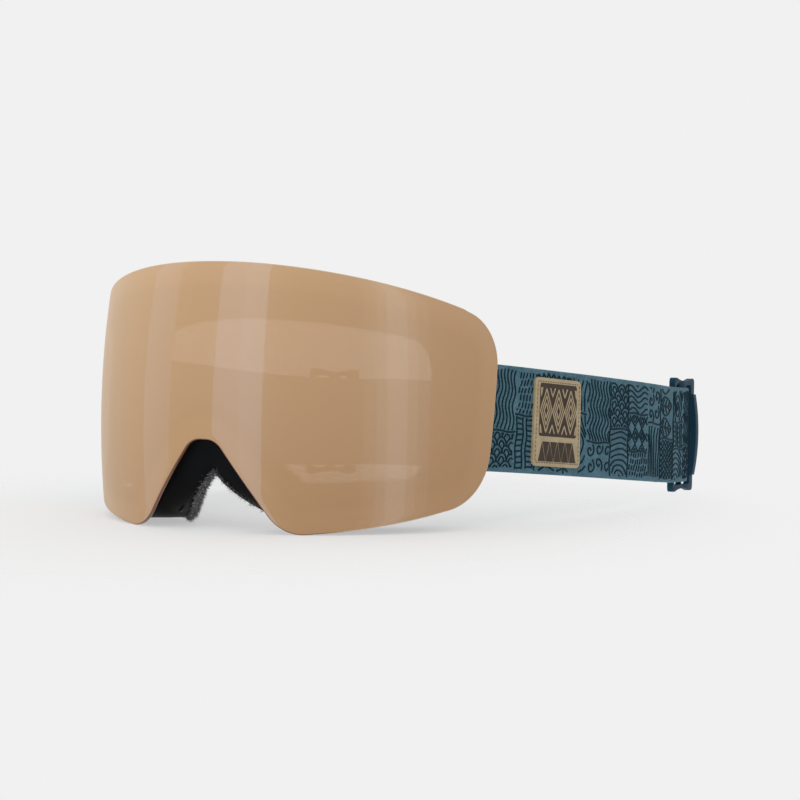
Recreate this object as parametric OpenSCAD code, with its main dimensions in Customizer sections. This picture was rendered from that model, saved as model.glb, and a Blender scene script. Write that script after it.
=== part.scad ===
// Snow goggles with a frameless toric double lens on a soft frame.
// The lens unit sits on the frame by magnets and pegs and pulls straight off to the front.
// The frame carries three layers of face foam, and a strap runs round the head through two sliders.
// The front faces -Y, +X is the wearer's left side, and the goggles stand on the floor at Z = 0.
// Places on the lens are given by s, the distance along its curve from the middle, by v, the height
// along it, and by d, the depth behind its outer face.

/* [Lens] */
// Radius of the lens across the face
lens_r = 95; // [88:1:110]
// Radius of the lens from top to bottom
lens_rv = 380; // [300:10:900]
// Backward lean of the lens in degrees
lens_tilt = 3; // [1:0.2:6]
// Thickness of the outer lens
lens_t = 1.6; // [1.2:0.1:2]
// Height of the lens at its middle
lens_h = 104; // [98:1:110]
// Fall of the top edge from the middle to the side
lens_fall = 21.5; // [15:0.5:26]
// Half width along the curve at the upper corner
lens_half = 122; // [116:1:126]
// Half width along the curve at the lower corner
lens_low_half = 116; // [110:1:120]
// Height of the lower corner
lens_low_v = 14.4; // [10:0.2:20]
// Round of the upper corner
lens_top_r = 20; // [16:1:24]
// Round of the lower corner
lens_low_r = 24; // [20:1:28]
// Distance from the middle to a lobe beside the nose
lobe_s = 33.7; // [30:0.1:38]
// Round of a lobe beside the nose
lobe_r = 17.3; // [14:0.1:20]
// Height of the nose arch
nose_h = 36.2; // [30:0.2:42]
// Half width of the flat top of the nose arch
nose_s = 5.4; // [3:0.2:8]
// Round of the nose arch
nose_r = 8.4; // [6:0.2:11]
// Thickness of the inner lens
inner_t = 0.9; // [0.7:0.1:1.2]
// Air gap between the two lenses
lens_gap = 2.2; // [1.8:0.1:3]
// Distance of the inner lens from the edge of the outer one
inner_inset = 9.2; // [9:0.1:11]

/* [Lens carrier and magnets] */
// Distance of the carrier rim from the edge of the lens
carrier_inset = 3.6; // [3:0.1:4.5]
// Width of the carrier rim
carrier_w = 5; // [4.6:0.1:5.2]
// Thickness of the carrier rim
carrier_t = 2.5; // [2.2:0.1:3]
// Radius of a magnet
magnet_r = 1.9; // [1.5:0.1:2]
// Thickness of a magnet
magnet_t = 1.5; // [1:0.1:1.6]
// Radius of a locating peg
peg_r = 1.5; // [1.2:0.1:1.8]
// Length of a locating peg
peg_l = 3.1; // [2:0.1:5]

/* [Frame and foam] */
// Depth of the face side of the foam at the middle of the brow
face_depth = 36; // [34:1:40]
// How much shallower the foam is at the temples
temple_cut = 12.5; // [10:0.5:13]
// How much shallower the foam is at the nose
nose_cut = 29; // [25:0.5:30]
// Half width over which the foam grows shallower at the nose
nose_reach = 25; // [20:1:30]
// Share of its thickness that the foam loses at the temples
temple_thin = 0.4; // [0.36:0.02:0.5]
// Share of its thickness that the foam would lose at the foot of the nose
nose_thin = 0.85; // [0.8:0.01:0.9]
// Thickness of the frame's front flange
flange_t = 2; // [1.8:0.1:2.4]
// Width of the frame's front flange
flange_w = 5.6; // [5.2:0.1:5.7]
// Thickness of the frame's side wall
frame_wall = 2; // [1.6:0.1:2.4]
// Thickness of the frame's face flange
face_flange_t = 1.8; // [1.4:0.1:2.4]
// Thickness of the firm base foam
base_foam_t = 4; // [3:0.5:5]
// Thickness of the soft middle foam
core_foam_t = 7; // [5:0.5:8]
// Thickness of the fleece on the face side
fleece_t = 3; // [2:0.5:4]
// Gap between a soft part and what carries it
soft_gap = 0.2; // [0.1:0.05:0.3]
// Height of the face foam's own nose arch
face_nose_h = 24.5; // [22:0.5:27]
// Distance of the face foam from the side of the lens
face_inset = 4; // [3:0.5:6]
// Width of the face foam at the sides
foam_w = 10.5; // [9:0.5:13]
// Width of the face foam at the brow
brow_foam_w = 17.5; // [15:0.5:20]
// Width of the face foam over the nose
nose_foam_w = 15; // [13:0.5:17]
// Length of a vent port
vent_l = 14; // [10:1:16]
// Height of a vent port
vent_h = 4; // [3:0.5:5]
// Width of the foam over the vents
vent_foam_w = 7; // [6:0.5:7.5]

/* [Strap] */
// Width of the strap
strap_w = 41.5; // [38:0.5:44]
// Thickness of the strap
strap_t = 1.8; // [1.4:0.1:2]
// Backward reach of the strap bar past the side edge of the lens
bar_out = 4; // [4:0.5:6]
// Height of the middle of the strap bar along the lens
strap_v = 47; // [44:0.5:50]
// Depth of the strap bar behind the outer face of the lens
bar_d = 8; // [7.6:0.2:9]
// Radius of the strap bar
bar_r = 1.5; // [1.2:0.1:1.6]
// Half distance between the sliders, at their front edges
slider_x = 93; // [88:1:98]
// Place of a slider's front edge behind the front of the lens
slider_y = 227; // [210:1:245]
// Inward turn of a slider in degrees
slider_turn = 9; // [4:1:12]
// Slope of a slider towards the back in degrees
slider_slope = 3.5; // [2:0.5:5]
// Outward heading of the strap where it leaves the frame, in degrees
strap_heading = 8; // [4:1:12]
// Radius of the strap's turn behind a slider
turn_r = 11; // [8:1:16]
// Width of the patch along the strap
patch_l = 32; // [26:1:40]
// Height of the patch
patch_h = 35; // [28:1:36]
// Thickness of the patch
patch_t = 1.2; // [0.8:0.1:1.6]
// Round of the patch's corners
patch_r = 2.5; // [1:0.5:4]
// Place of the patch's front edge behind the strap bar
patch_y = 23.5; // [16:0.5:36]
// Spacing of the silicone lines on the strap
grip_step = 11; // [8:1:14]
// Width of a silicone line
grip_w = 3; // [2:0.5:4]
// Thickness of a silicone line
grip_t = 0.5; // [0.3:0.1:0.8]

/* [Slider] */
// Height of a slider
slider_h = 50; // [49:0.5:55]
// Length of a slider along the strap
slider_l = 33.6; // [33:0.1:36]
// Thickness of a slider's plate
slider_t = 2.6; // [2.2:0.1:2.8]
// Width of the thin front bar
front_bar = 2.6; // [2.2:0.1:3]
// Width of the middle bar
middle_bar = 5.5; // [5:0.1:6]
// Width of the rear bar, which has the grip
rear_bar = 5.6; // [5:0.1:6]
// Width of the rear slot
rear_slot = 8.5; // [8.2:0.1:9]
// Width of a slider's end bars at the hollow of its ends
end_bar = 1.7; // [1.4:0.1:2.2]
// Length of the thumb grip
grip_l = 36; // [30:1:40]
// Height of the thumb grip
grip_h = 2.6; // [2:0.1:3]
// Fall of the thumb grip from its crown to its ends
grip_fall = 1.6; // [1:0.1:1.8]
// Width of the crests at a slider's corners
crest_w = 4; // [3.5:0.5:6]
// Depth of the hollow in a slider's end
scallop = 1.3; // [0.8:0.1:2]

/* [Hidden] */
$fn = 48;

fit_gap = 0.3;
seal_gap = 0.2;
bevel = 0.35;
lens_mid_v = 48;
wall_rise = 3.4;
carrier_d = lens_t + seal_gap;
frame_d = carrier_d + carrier_t + fit_gap;
inner_d = lens_t + lens_gap;
foam_stack = base_foam_t + core_foam_t + fleece_t + 3 * soft_gap;
flange_inset = carrier_inset - 0.4;
wall_inset = flange_inset + flange_w - frame_wall;

// Steps along each stretch of an outline
nose_n = 4;
leg_n = 2;
lobe_n = 6;
edge_n = 6;
corner_n = 7;
side_n = 3;
rows = 6;

// Number of a chain's first point past the lobe
run_first = nose_n + leg_n + lobe_n + 3;

// Plain helpers
function unit(p) = p / norm(p);
function mix(a, b, t) = a * (1 - t) + b * t;

// An outline is a list of named places: nose, lobe, lower corner, upper corner and brow
function outline(ns, nv, nr, ls, lv, lr, cs, cv, cr, us, uv, ur, top, fall, bow) =
    [[ns, nv, nr], [ls, lv, lr], [cs, cv, cr], [us, uv, ur], [top, fall, bow]];
function place(o, i) = [o[i][0], o[i][1]];

// Points of the round at corner b between edges to a and c, each with its normal into the sheet
function corner(a, b, c, r, n, sign) =
    let(u = unit(a - b), w = unit(c - b), half = acos(u * w) / 2,
        mid = b + unit(u + w) * r / sin(half),
        p = b + u * r / tan(half) - mid, q = b + w * r / tan(half) - mid,
        from = atan2(p[1], p[0]), swing = atan2(q[1], q[0]) - from,
        turn = swing > 180 ? swing - 360 : swing < -180 ? swing + 360 : swing)
    [for (i = [0 : n]) let(g = from + turn * i / n, e = [cos(g), sin(g)])
        [mid + r * e, -sign * e]];

// Lower half of an outline, from the middle of the nose arch to the side
function low_chain(o) =
    let(nose = corner([0, o[0][1]], place(o, 0), place(o, 1), o[0][2], nose_n, -1),
        lobe = corner(place(o, 0), place(o, 1), place(o, 2), o[1][2], lobe_n, 1),
        low = corner(place(o, 1), place(o, 2), place(o, 3), o[2][2], corner_n, 1),
        a = lobe[lobe_n][0], b = low[0][0], run = unit(b - a), up = [-run[1], run[0]])
    concat([[[0, o[0][1]], [0, 1]]], nose,
        [for (i = [1 : leg_n]) [mix(nose[nose_n][0], lobe[0][0], i / (leg_n + 1)), lobe[0][1]]],
        lobe,
        [for (i = [1 : edge_n]) let(t = i / (edge_n + 1))
            [mix(a, b, t) - up * o[4][2] * 4 * t * (1 - t), up]],
        low);

// Upper half of an outline, with as many points as the lower half
function brow(o, s) = o[4][0] - o[4][1] * pow(s / o[3][0], 2);
function up_chain(o) =
    let(low = low_chain(o), knee = o[3][0] * 0.75,
        top = corner([knee, brow(o, knee)], place(o, 3), place(o, 2), o[3][2], corner_n, 1),
        n = len(low) - corner_n - 1, stretch = top[0][0][0] / low[n][0][0])
    concat([for (i = [0 : n - 1]) let(s = low[i][0][0] * stretch,
            slope = -2 * o[4][1] * s / pow(o[3][0], 2))
        [[s, brow(o, s)], unit([slope, -1])]], top);

// The chain drawn in by t along its normals, a corner no further than its own round
function drawn_in(chain, t) = [for (c = chain) c[0] + c[1] * t];
function mirrored(chain) = [for (i = [len(chain) - 1 : -1 : 1]) [-chain[i][0], chain[i][1]]];
function both(chain) = concat(mirrored(chain), chain);

// The closed outline, drawn in by t
function loop(o, t) =
    let(up = drawn_in(up_chain(o), t), low = drawn_in(low_chain(o), t), n = len(up) - 1,
        side = [for (i = [1 : side_n]) mix(up[n], low[n], i / (side_n + 1))],
        right = concat(up, side, [for (i = [n : -1 : 0]) low[i]]))
    concat(right, [for (i = [len(right) - 2 : -1 : 1]) [-right[i][0], right[i][1]]]);

lens_line = outline(nose_s, nose_h, nose_r, lobe_s, 0, lobe_r,
    lens_low_half, lens_low_v, lens_low_r,
    lens_half, lens_h - lens_fall, lens_top_r, lens_h, lens_fall, 1.2);
// Outer edge of the foam on the face, with its narrower nose arch
face_line = outline(4.5, face_nose_h, 6, lobe_s - 8.7, 3.4, 8,
    lens_low_half - face_inset, lens_low_v + 0.6, lens_low_r - 3,
    lens_half - face_inset, lens_h - lens_fall - 2, lens_top_r - 2,
    lens_h - 3, lens_fall - 1, 1);
// Inner edge of the foam, round the eyes
eye_line = outline(9.5, face_nose_h + nose_foam_w, 8, lobe_s + 4, 19, 10,
    lens_low_half - face_inset - foam_w + 1, lens_low_v + 8, 12,
    lens_half - face_inset - foam_w, lens_h - lens_fall - 7, 14,
    lens_h - 3 - brow_foam_w, lens_fall - 13.5, 0);

// A place on or behind the lens
function lens_deg(s) = s / lens_r * 180 / PI;
function raw_pt(s, v, d) =
    let(q = lens_deg(s), r = lens_r - d - pow(v - lens_mid_v, 2) / (2 * lens_rv),
        n = lens_r - r * cos(q))
    [r * sin(q), n * cos(lens_tilt) + v * sin(lens_tilt), v * cos(lens_tilt) - n * sin(lens_tilt)];
lens_low = min([for (p = loop(lens_line, 0)) raw_pt(p[0], p[1], lens_t - bevel)[2]]);
lens_front = min([for (p = loop(lens_line, bevel)) raw_pt(p[0], p[1], 0)[1]]);
function lens_pt(p, d) = raw_pt(p[0], p[1], d) - [0, 0, lens_low];
function lens_loop(o, t, d) = [for (p = loop(o, t)) lens_pt(p, d)];

// Shares of the way to the temples and to the foot of the nose, for the shape of the foam
function at_temple(p) = pow(p[0] / lens_half, 2);
function at_nose(p) = (1 - p[1] / lens_h) / (1 + pow(p[0] / nose_reach, 2));
// Depth of the face side of the foam, and how much of its full thickness is left
function foam_depth(p) = face_depth - temple_cut * at_temple(p) - nose_cut * at_nose(p);
function foam_share(p) = 1 - temple_thin * at_temple(p) - nose_thin * at_nose(p);
// A loop in the foam, at a distance in front of the face side
function face_loop(o, t, back) =
    [for (p = loop(o, t)) lens_pt(p, foam_depth(p) - back * foam_share(p))];

// Solid through a row of stations, each a ring of points
module loft(st, closed = false) {
    n = len(st);
    k = len(st[0]);
    last = closed ? n - 1 : n - 2;
    // The last strip is split along its other diagonal, so that rings that face each other match
    sides = [for (i = [0 : last]) for (j = [0 : k - 1])
        let(a = i * k + j, b = i * k + (j + 1) % k,
            c = ((i + 1) % n) * k + (j + 1) % k, e = ((i + 1) % n) * k + j)
        each j < k - 1 ? [[a, b, c], [a, c, e]] : [[a, b, e], [b, c, e]]];
    ends = closed ? [] : [[for (j = [k - 1 : -1 : 0]) j], [for (j = [0 : k - 1]) (n - 1) * k + j]];
    polyhedron([for (s = st) each s], concat(sides, ends));
}

// Closed ring whose section joins the loops in turn
module ring(loops) {
    loft([for (i = [0 : len(loops[0]) - 1]) [for (l = loops) l[i]]], true);
}

// Sheet between grids of points: the first and last are its faces, the others shape its rim
module sheet(grids) {
    m = len(grids[0]);
    n = len(grids[0][0]);
    size = m * n;
    last = (len(grids) - 1) * size;
    rim = concat([for (j = [0 : n - 2]) j], [for (i = [0 : m - 2]) i * n + n - 1],
        [for (j = [n - 1 : -1 : 1]) (m - 1) * n + j], [for (i = [m - 1 : -1 : 1]) i * n]);
    front = [for (i = [0 : m - 2]) for (j = [0 : n - 2])
        let(a = i * n + j, b = a + 1, c = a + n + 1, e = a + n)
        each [[a, c, b], [a, e, c]]];
    back = [for (f = front) [last + f[0], last + f[2], last + f[1]]];
    edge = [for (g = [0 : len(grids) - 2]) for (i = [0 : len(rim) - 1])
        let(a = g * size + rim[i], b = g * size + rim[(i + 1) % len(rim)])
        each [[a, b, b + size], [a, b + size, a + size]]];
    polyhedron([for (g = grids) for (r = g) each r], concat(front, back, edge));
}

function lens_grid(o, t, d) =
    let(low = both(drawn_in(low_chain(o), t)), up = both(drawn_in(up_chain(o), t)))
    [for (k = [0 : rows]) [for (j = [0 : len(low) - 1]) lens_pt(mix(low[j], up[j], k / rows), d)]];

// Sets its children on the lens at s, v and depth d, with +Z pointing out of the lens
module on_lens(s, v, d) {
    translate(lens_pt([s, v], d)) rotate([-lens_tilt, 0, 0]) rotate([0, 0, lens_deg(s)])
        rotate([90 - atan((v - lens_mid_v) / lens_rv), 0, 0]) children();
}

// Places of the strap, its bars and its sliders

function side_s(v) = mix(lens_low_half, lens_half, (v - lens_low_v) / (lens_h - lens_fall - lens_low_v));
side_lean = atan((lens_half - lens_low_half) / (lens_h - lens_fall - lens_low_v));
bar_s = side_s(strap_v) + bar_out;
bar = lens_pt([bar_s, strap_v], bar_d);
wrap_r = bar_r + strap_t / 2 + 0.25;
foot_cut = 0.2;
slider_z = slider_h / 2 * cos(slider_slope) + (slider_l - 2) * sin(slider_slope) - foot_cut;
slot_h = slider_h - 2 * (scallop + end_bar);
slider_dir = [-sin(slider_turn), cos(slider_turn)];
slider_out = [cos(slider_turn), sin(slider_turn)];
front_slot = slider_l - front_bar - middle_bar - rear_bar - rear_slot;
middle_u = front_bar + front_slot;
rear_u = slider_l - rear_bar;
lie = slider_t / 2 + strap_t / 2 + 0.25;
over = lie + strap_t + 0.25;
ply = strap_t + 0.25;

module at_bar() {
    translate(bar) rotate([-lens_tilt, 0, 0]) rotate([0, 0, lens_deg(bar_s)])
        rotate([0, side_lean, 0]) children();
}
bar_axis = let(q = lens_deg(bar_s), x = sin(side_lean) * cos(q), n = sin(side_lean) * sin(q),
    z = cos(side_lean))
    [x, n * cos(lens_tilt) + z * sin(lens_tilt), z * cos(lens_tilt) - n * sin(lens_tilt)];

// A station of the strap: its place, and the direction across its width
function across(h, lean) = [h[0] * sin(lean), h[1] * sin(lean), cos(lean)];
function at_slider(u, w) =
    let(p = [slider_x, slider_y] + slider_dir * u + slider_out * w)
    [[p[0], p[1], slider_z - u * sin(slider_slope)], across(slider_dir, slider_slope)];

// Outer run from the bar to the slider: a curve that bows outwards
run_n = 18;
run_a = [bar[0] + wrap_r, bar[1]];
run_d = [slider_x, slider_y] + slider_dir * -8 + slider_out * lie;
run_reach = (slider_y - bar[1]) / 3;
run_b = run_a + [sin(strap_heading), cos(strap_heading)] * run_reach;
run_c = run_d - slider_dir * run_reach;
function run_pt(t) = run_a * pow(1 - t, 3) + run_b * 3 * t * pow(1 - t, 2)
    + run_c * 3 * t * t * (1 - t) + run_d * pow(t, 3);
function run_dir(t) = unit(run_pt(min(t + 0.01, 1)) - run_pt(max(t - 0.01, 0)));
function run_z(t) = mix(bar[2], slider_z + 8 * sin(slider_slope), t);
run_end = across(slider_dir, slider_slope);
function run_across(t) = unit(mix(bar_axis, run_end, t));
// Distance of the inner layer from the outer one: wide at the bar and at the slider
function ply_gap(t) = ply + 0.6
    + (2 * wrap_r - ply - 0.6) * pow(max(0, 1 - t / 0.2), 2)
    + (2 * lie - 0.6) * pow(max(0, (t - 0.85) / 0.15), 2);
function run_at(t, inside) =
    let(h = run_dir(t), p = run_pt(t) - [h[1], -h[0]] * (inside ? ply_gap(t) : 0))
    [[p[0], p[1], run_z(t)], run_across(t)];

// Loop of the strap's sewn end round the middle bar, then the inner layer and the turn at the bar
wrap_n = 6;
sewn_end = [
    at_slider(-7, -lie), at_slider(front_bar, -lie), at_slider(front_bar + 2.4, -lie + 0.3),
    at_slider(middle_u - 3, lie - 1.3), at_slider(middle_u - 0.6, lie),
    at_slider(middle_u + middle_bar - 0.6, lie)
];
loop_turn = [for (i = [1 : wrap_n - 1]) let(g = 90 - 180 * i / wrap_n)
    at_slider(middle_u + middle_bar - 0.6 + (lie - 0.3) * cos(g), lie * sin(g))];
inner_leg = [
    at_slider(middle_u + middle_bar - 0.6, -lie), at_slider(middle_u, -lie - 0.1),
    at_slider(middle_u - 4, -lie - 1), at_slider(front_bar + 2, -lie - ply),
    at_slider(-2, -lie - ply)
];
bar_turn = [for (i = [0 : wrap_n]) let(g = 180 + 180 * i / wrap_n)
    [bar + [wrap_r * cos(g), wrap_r * sin(g), 0], bar_axis]];
dive = [
    at_slider(0, lie), at_slider(front_bar, lie), at_slider(middle_u - 3, over - 0.7),
    at_slider(middle_u - 0.4, over), at_slider(middle_u + middle_bar - 0.2, over),
    at_slider(middle_u + middle_bar + 2.4, over - 0.6),
    at_slider(middle_u + middle_bar + 4.1, over - 3), at_slider(rear_u - 2.4, -lie + 1),
    at_slider(rear_u - 0.6, -lie), at_slider(slider_l + 0.8, -lie)
];
strap_path = concat(sewn_end, loop_turn, inner_leg,
    [for (i = [run_n : -1 : 1]) run_at(i / run_n, true)], bar_turn,
    [for (i = [1 : run_n]) run_at(i / run_n, false)], dive);

// Back run: a turn behind each slider and a shallow bow between them
turn_n = 8;
back_bow = 4;
back_n = 12;
turn_start = at_slider(slider_l + 1.1, -lie)[0];
turn_mid = [turn_start[0], turn_start[1]] - slider_out * turn_r;
back_z = turn_start[2] - 0.1;
turn_pts = [for (i = [0 : turn_n])
    let(t = i / turn_n, g = mix(slider_turn, 90 - back_bow, t), h = [-sin(g), cos(g)],
        p = turn_mid + turn_r * [cos(g), sin(g)])
    [[p[0], p[1], mix(turn_start[2], back_z, t)], across(h, slider_slope * (1 - t))]];
turn_end = turn_pts[turn_n][0];
back_rise = turn_end[0] * tan(back_bow) / 2;
back_pts = [for (i = [1 : back_n])
    let(x = turn_end[0] * (1 - i / back_n))
    [[x, turn_end[1] + back_rise * (1 - pow(x / turn_end[0], 2)), back_z], [0, 0, 1]]];
half_back = concat(turn_pts, back_pts);
function flip_station(q) = [[-q[0][0], q[0][1], q[0][2]], [-q[1][0], q[1][1], q[1][2]]];
back_path = concat(half_back, [for (i = [len(half_back) - 2 : -1 : 0]) flip_station(half_back[i])]);
back_y = back_path[len(half_back) - 1][0][1] + strap_t / 2;

// Normal of the strap at station i, out of the head, mitred between its neighbours
function strap_normal(path, i) =
    let(a = path[max(i - 1, 0)][0], b = path[i][0], c = path[min(i + 1, len(path) - 1)][0],
        u = i == 0 ? unit(c - b) : unit(b - a), w = i == len(path) - 1 ? u : unit(c - b),
        n = unit(cross(unit(u + w), path[i][1])))
    n / max(0.7, sqrt((1 + u * w) / 2));

// Ribbon along a path between two depths and two heights
module ribbon(path, low, high, inner, outer) {
    loft([for (i = [0 : len(path) - 1])
        let(p = path[i][0], c = path[i][1], n = strap_normal(path, i))
        [p + c * low + n * outer, p + c * high + n * outer,
         p + c * high + n * inner, p + c * low + n * inner]]);
}

// The whole thing is moved so that the middle of its outline stands over the origin
shift_y = -(back_y + lens_front) / 2;
module settled() { translate([0, shift_y, 0]) children(); }

// Lens unit

module outer_lens() {
    color("#C4956C") settled() sheet([
        lens_grid(lens_line, bevel, 0), lens_grid(lens_line, 0, bevel),
        lens_grid(lens_line, 0, lens_t - bevel), lens_grid(lens_line, bevel, lens_t)]);
}

module lens_gasket() {
    a = inner_inset + 0.3;
    b = inner_inset + 3.6;
    color("#2B2B2D") settled() ring([
        lens_loop(lens_line, a, lens_t + seal_gap), lens_loop(lens_line, a, inner_d - seal_gap),
        lens_loop(lens_line, b, inner_d - seal_gap), lens_loop(lens_line, b, lens_t + seal_gap)]);
}

module inner_lens() {
    color("#8F8272", 0.6) settled() sheet([
        lens_grid(lens_line, inner_inset, inner_d),
        lens_grid(lens_line, inner_inset, inner_d + inner_t)]);
}

// Magnets and pegs sit in the middle of the rim, at points of the lens's own outline
top_edge = up_chain(lens_line);
low_edge = low_chain(lens_line);
function seat(c, inset) = c[0] + c[1] * inset;
seat_inset = carrier_inset + carrier_w / 2;
side_top = seat(top_edge[len(top_edge) - 1], seat_inset);
side_low = seat(low_edge[len(low_edge) - 1], seat_inset);
// The side magnet lies at the strap's height, midway between the outrigger's two pins
side_seat = mix(side_top, side_low, (side_top[1] - strap_v) / (side_top[1] - side_low[1]));
magnet_seats = [
    seat(top_edge[nose_n + leg_n + 1], seat_inset), seat(top_edge[run_first + 3], seat_inset),
    side_seat, seat(low_edge[run_first + 3], seat_inset)
];
peg_seats = [seat(top_edge[run_first], seat_inset), seat(low_edge[run_first + 1], seat_inset)];
peg_d = carrier_d + carrier_t - 0.8;

// Sets its children at each seat on both sides, at depth d
module at_seats(seats, d) {
    for (m = [0, 1]) mirror([m, 0, 0]) for (p = seats) on_lens(p[0], p[1], d) children();
}
module at_pegs() {
    for (m = [0, 1]) mirror([m, 0, 0]) for (p = peg_seats)
        translate(lens_pt(p, peg_d)) rotate([-90, 0, 0]) children();
}

module lens_carrier() {
    a = carrier_inset;
    b = carrier_inset + carrier_w;
    d = carrier_d + carrier_t;
    color("#232427") settled() {
        difference() {
            ring([lens_loop(lens_line, a, carrier_d), lens_loop(lens_line, a, d),
                lens_loop(lens_line, b, d), lens_loop(lens_line, b, carrier_d)]);
            at_seats(magnet_seats, d)
                translate([0, 0, -1]) cylinder(r = magnet_r + 0.05, h = magnet_t + 1.1);
        }
        at_pegs() cylinder(r = peg_r, h = peg_l);
    }
}

module lens_magnets() {
    color("silver") settled() at_seats(magnet_seats, carrier_d + carrier_t)
        translate([0, 0, 0.05]) cylinder(r = magnet_r, h = magnet_t);
}

// Frame

// Vents through the side wall, over the brow and below the eyes
vent_tops = [0, nose_n + leg_n + lobe_n - 1, run_first + 1];
vent_lows = [run_first + 1, run_first + 4];
module vent_ports(chain, numbers) {
    for (m = [0, 1]) mirror([m, 0, 0]) for (i = numbers)
        let(p = seat(chain[i], wall_inset + frame_wall / 2))
            on_lens(p[0], p[1], frame_d + flange_t + vent_foam_w / 2)
                rotate([0, 0, atan(-chain[i][1][0] / chain[i][1][1])])
                    cube([vent_l, 3 * frame_wall, vent_h], center = true);
}

module frame_body() {
    a = flange_inset;
    b = flange_inset + flange_w;
    d = frame_d + flange_t;
    back = foam_stack;
    front = foam_stack + face_flange_t;
    color("#1D1E20") settled() difference() {
        ring([
            lens_loop(lens_line, a, frame_d), lens_loop(lens_line, a, d),
            lens_loop(lens_line, wall_inset, d), face_loop(face_line, wall_rise, front),
            face_loop(face_line, 0, front), face_loop(face_line, 0, back),
            face_loop(eye_line, 0, back), face_loop(eye_line, 0, front),
            face_loop(face_line, wall_rise + frame_wall, front),
            lens_loop(lens_line, b, d + frame_wall), lens_loop(lens_line, b, frame_d)]);
        at_seats(magnet_seats, frame_d)
            translate([0, 0, -magnet_t - 0.05]) cylinder(r = magnet_r + 0.05, h = magnet_t + 1);
        at_pegs() cylinder(r = peg_r + fit_gap, h = peg_l + 2);
        for (m = [0, 1]) mirror([m, 0, 0]) pin_places()
            translate([0, 0, -1]) cylinder(r = pin_r + 0.05, h = flange_t + 2);
        vent_ports(top_edge, vent_tops);
        vent_ports(low_edge, vent_lows);
    }
}

module frame_magnets() {
    color("silver") settled() at_seats(magnet_seats, frame_d)
        translate([0, 0, -magnet_t - 0.02]) cylinder(r = magnet_r, h = magnet_t);
}

// One layer of the face foam, between two heights over the face side, drawn in at its edges
module foam_layer(near, far, outer, inner) {
    settled() ring([
        face_loop(face_line, outer, far), face_loop(face_line, outer, near),
        face_loop(eye_line, -inner, near), face_loop(eye_line, -inner, far)]);
}

module foam_base() {
    back = fleece_t + core_foam_t + 2 * soft_gap;
    color("#3A3B3E") foam_layer(back, back + base_foam_t, 0.3, 0.3);
}

module foam_core() {
    back = fleece_t + soft_gap;
    color("#4A4B4F") foam_layer(back, back + core_foam_t, 0.5, 0.5);
}

module fleece_face() {
    color("#2A2A2C") settled() ring([
        face_loop(face_line, 0.5, fleece_t), face_loop(face_line, 0.7, fleece_t * 0.45),
        face_loop(face_line, 2, 0), face_loop(eye_line, -2, 0),
        face_loop(eye_line, -0.7, fleece_t * 0.45), face_loop(eye_line, -0.5, fleece_t)]);
}

// Outriggers, bars and pins

spine_near = wrap_r + strap_t / 2 + 0.4;
spine_t = 2.6;
spine_far = spine_near + spine_t;
ear_t = 3;
ear_gap = strap_w + 1.4;
bar_l = ear_gap + 2 * ear_t;
tongue_h = 24;
tongue_room = 1.4;
tongue_l = bar_out + wall_inset - spine_far - tongue_room;
rig_gap = 1;
rig_near = frame_d + flange_t + rig_gap - bar_d;
rig_t = 4.6;
pin_r = 0.8;
pin_s = bar_s - bar_out - flange_inset - pin_r - 0.4;
pin_heights = [strap_v - tongue_h / 3, strap_v + tongue_h / 3];
pin_depth = rig_t / 2 + 1;

module pin_places() {
    for (v = pin_heights)
        on_lens(pin_s + (v - strap_v) * tan(side_lean), v, frame_d + flange_t) children();
}

// A yoke whose tongue is pinned in the channel of the frame and whose ears hold the strap bar
module outrigger() {
    difference() {
        at_bar() difference() {
            union() {
                translate([-spine_far, rig_near, -bar_l / 2]) cube([spine_t, rig_t, bar_l]);
                translate([-spine_far - tongue_l, rig_near, -tongue_h / 2])
                    cube([tongue_l + spine_t / 2, rig_t, tongue_h]);
                for (z = [-bar_l / 2, bar_l / 2 - ear_t]) translate([0, 0, z]) hull() {
                    cylinder(r = bar_r + 1.5, h = ear_t, $fn = 32);
                    translate([-spine_near - spine_t / 2, rig_near + rig_t / 2, 0])
                        cylinder(r = spine_t / 2, h = ear_t, $fn = 32);
                }
            }
            cylinder(r = bar_r + 0.05, h = bar_l + 2, center = true);
        }
        pin_places() translate([0, 0, -rig_t - 6]) cylinder(r = pin_r + 0.05, h = rig_t + 8);
    }
}
module outrigger_left() { color("#26272A") settled() outrigger(); }
module outrigger_right() { color("#26272A") settled() mirror([1, 0, 0]) outrigger(); }

module strap_bar() { at_bar() cylinder(r = bar_r, h = bar_l - 0.4, center = true); }
module strap_bar_left() { color("silver") settled() strap_bar(); }
module strap_bar_right() { color("silver") settled() mirror([1, 0, 0]) strap_bar(); }

module outrigger_pins() {
    color("dimgray") settled() for (m = [0, 1]) mirror([m, 0, 0]) pin_places()
        translate([0, 0, -pin_depth]) cylinder(r = pin_r, h = pin_depth + flange_t - 0.2);
}

// Foam over the air vents, in the channel round the frame

module vent_strip(chain, first, last, whole) {
    near_edge = drawn_in(chain, flange_inset + 0.6);
    near_wall = drawn_in(chain, wall_inset - 1.2);
    a = whole ? both(near_edge) : near_edge;
    b = whole ? both(near_wall) : near_wall;
    near = peg_d + peg_l + 2 * soft_gap;
    far = near + vent_foam_w;
    loft([for (i = [first : last])
        [lens_pt(a[i], near), lens_pt(a[i], far), lens_pt(b[i], far), lens_pt(b[i], near)]]);
}
module vent_foam_top() {
    mid = len(top_edge) - 1;
    last = run_first + edge_n - 2;
    color("#38393C") settled() vent_strip(top_edge, mid - last, mid + last, true);
}
module vent_low() { vent_strip(low_edge, run_first, run_first + edge_n - 1, false); }
module vent_foam_low_left() { color("#38393C") settled() vent_low(); }
module vent_foam_low_right() { color("#38393C") settled() mirror([1, 0, 0]) vent_low(); }

// Strap

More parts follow.
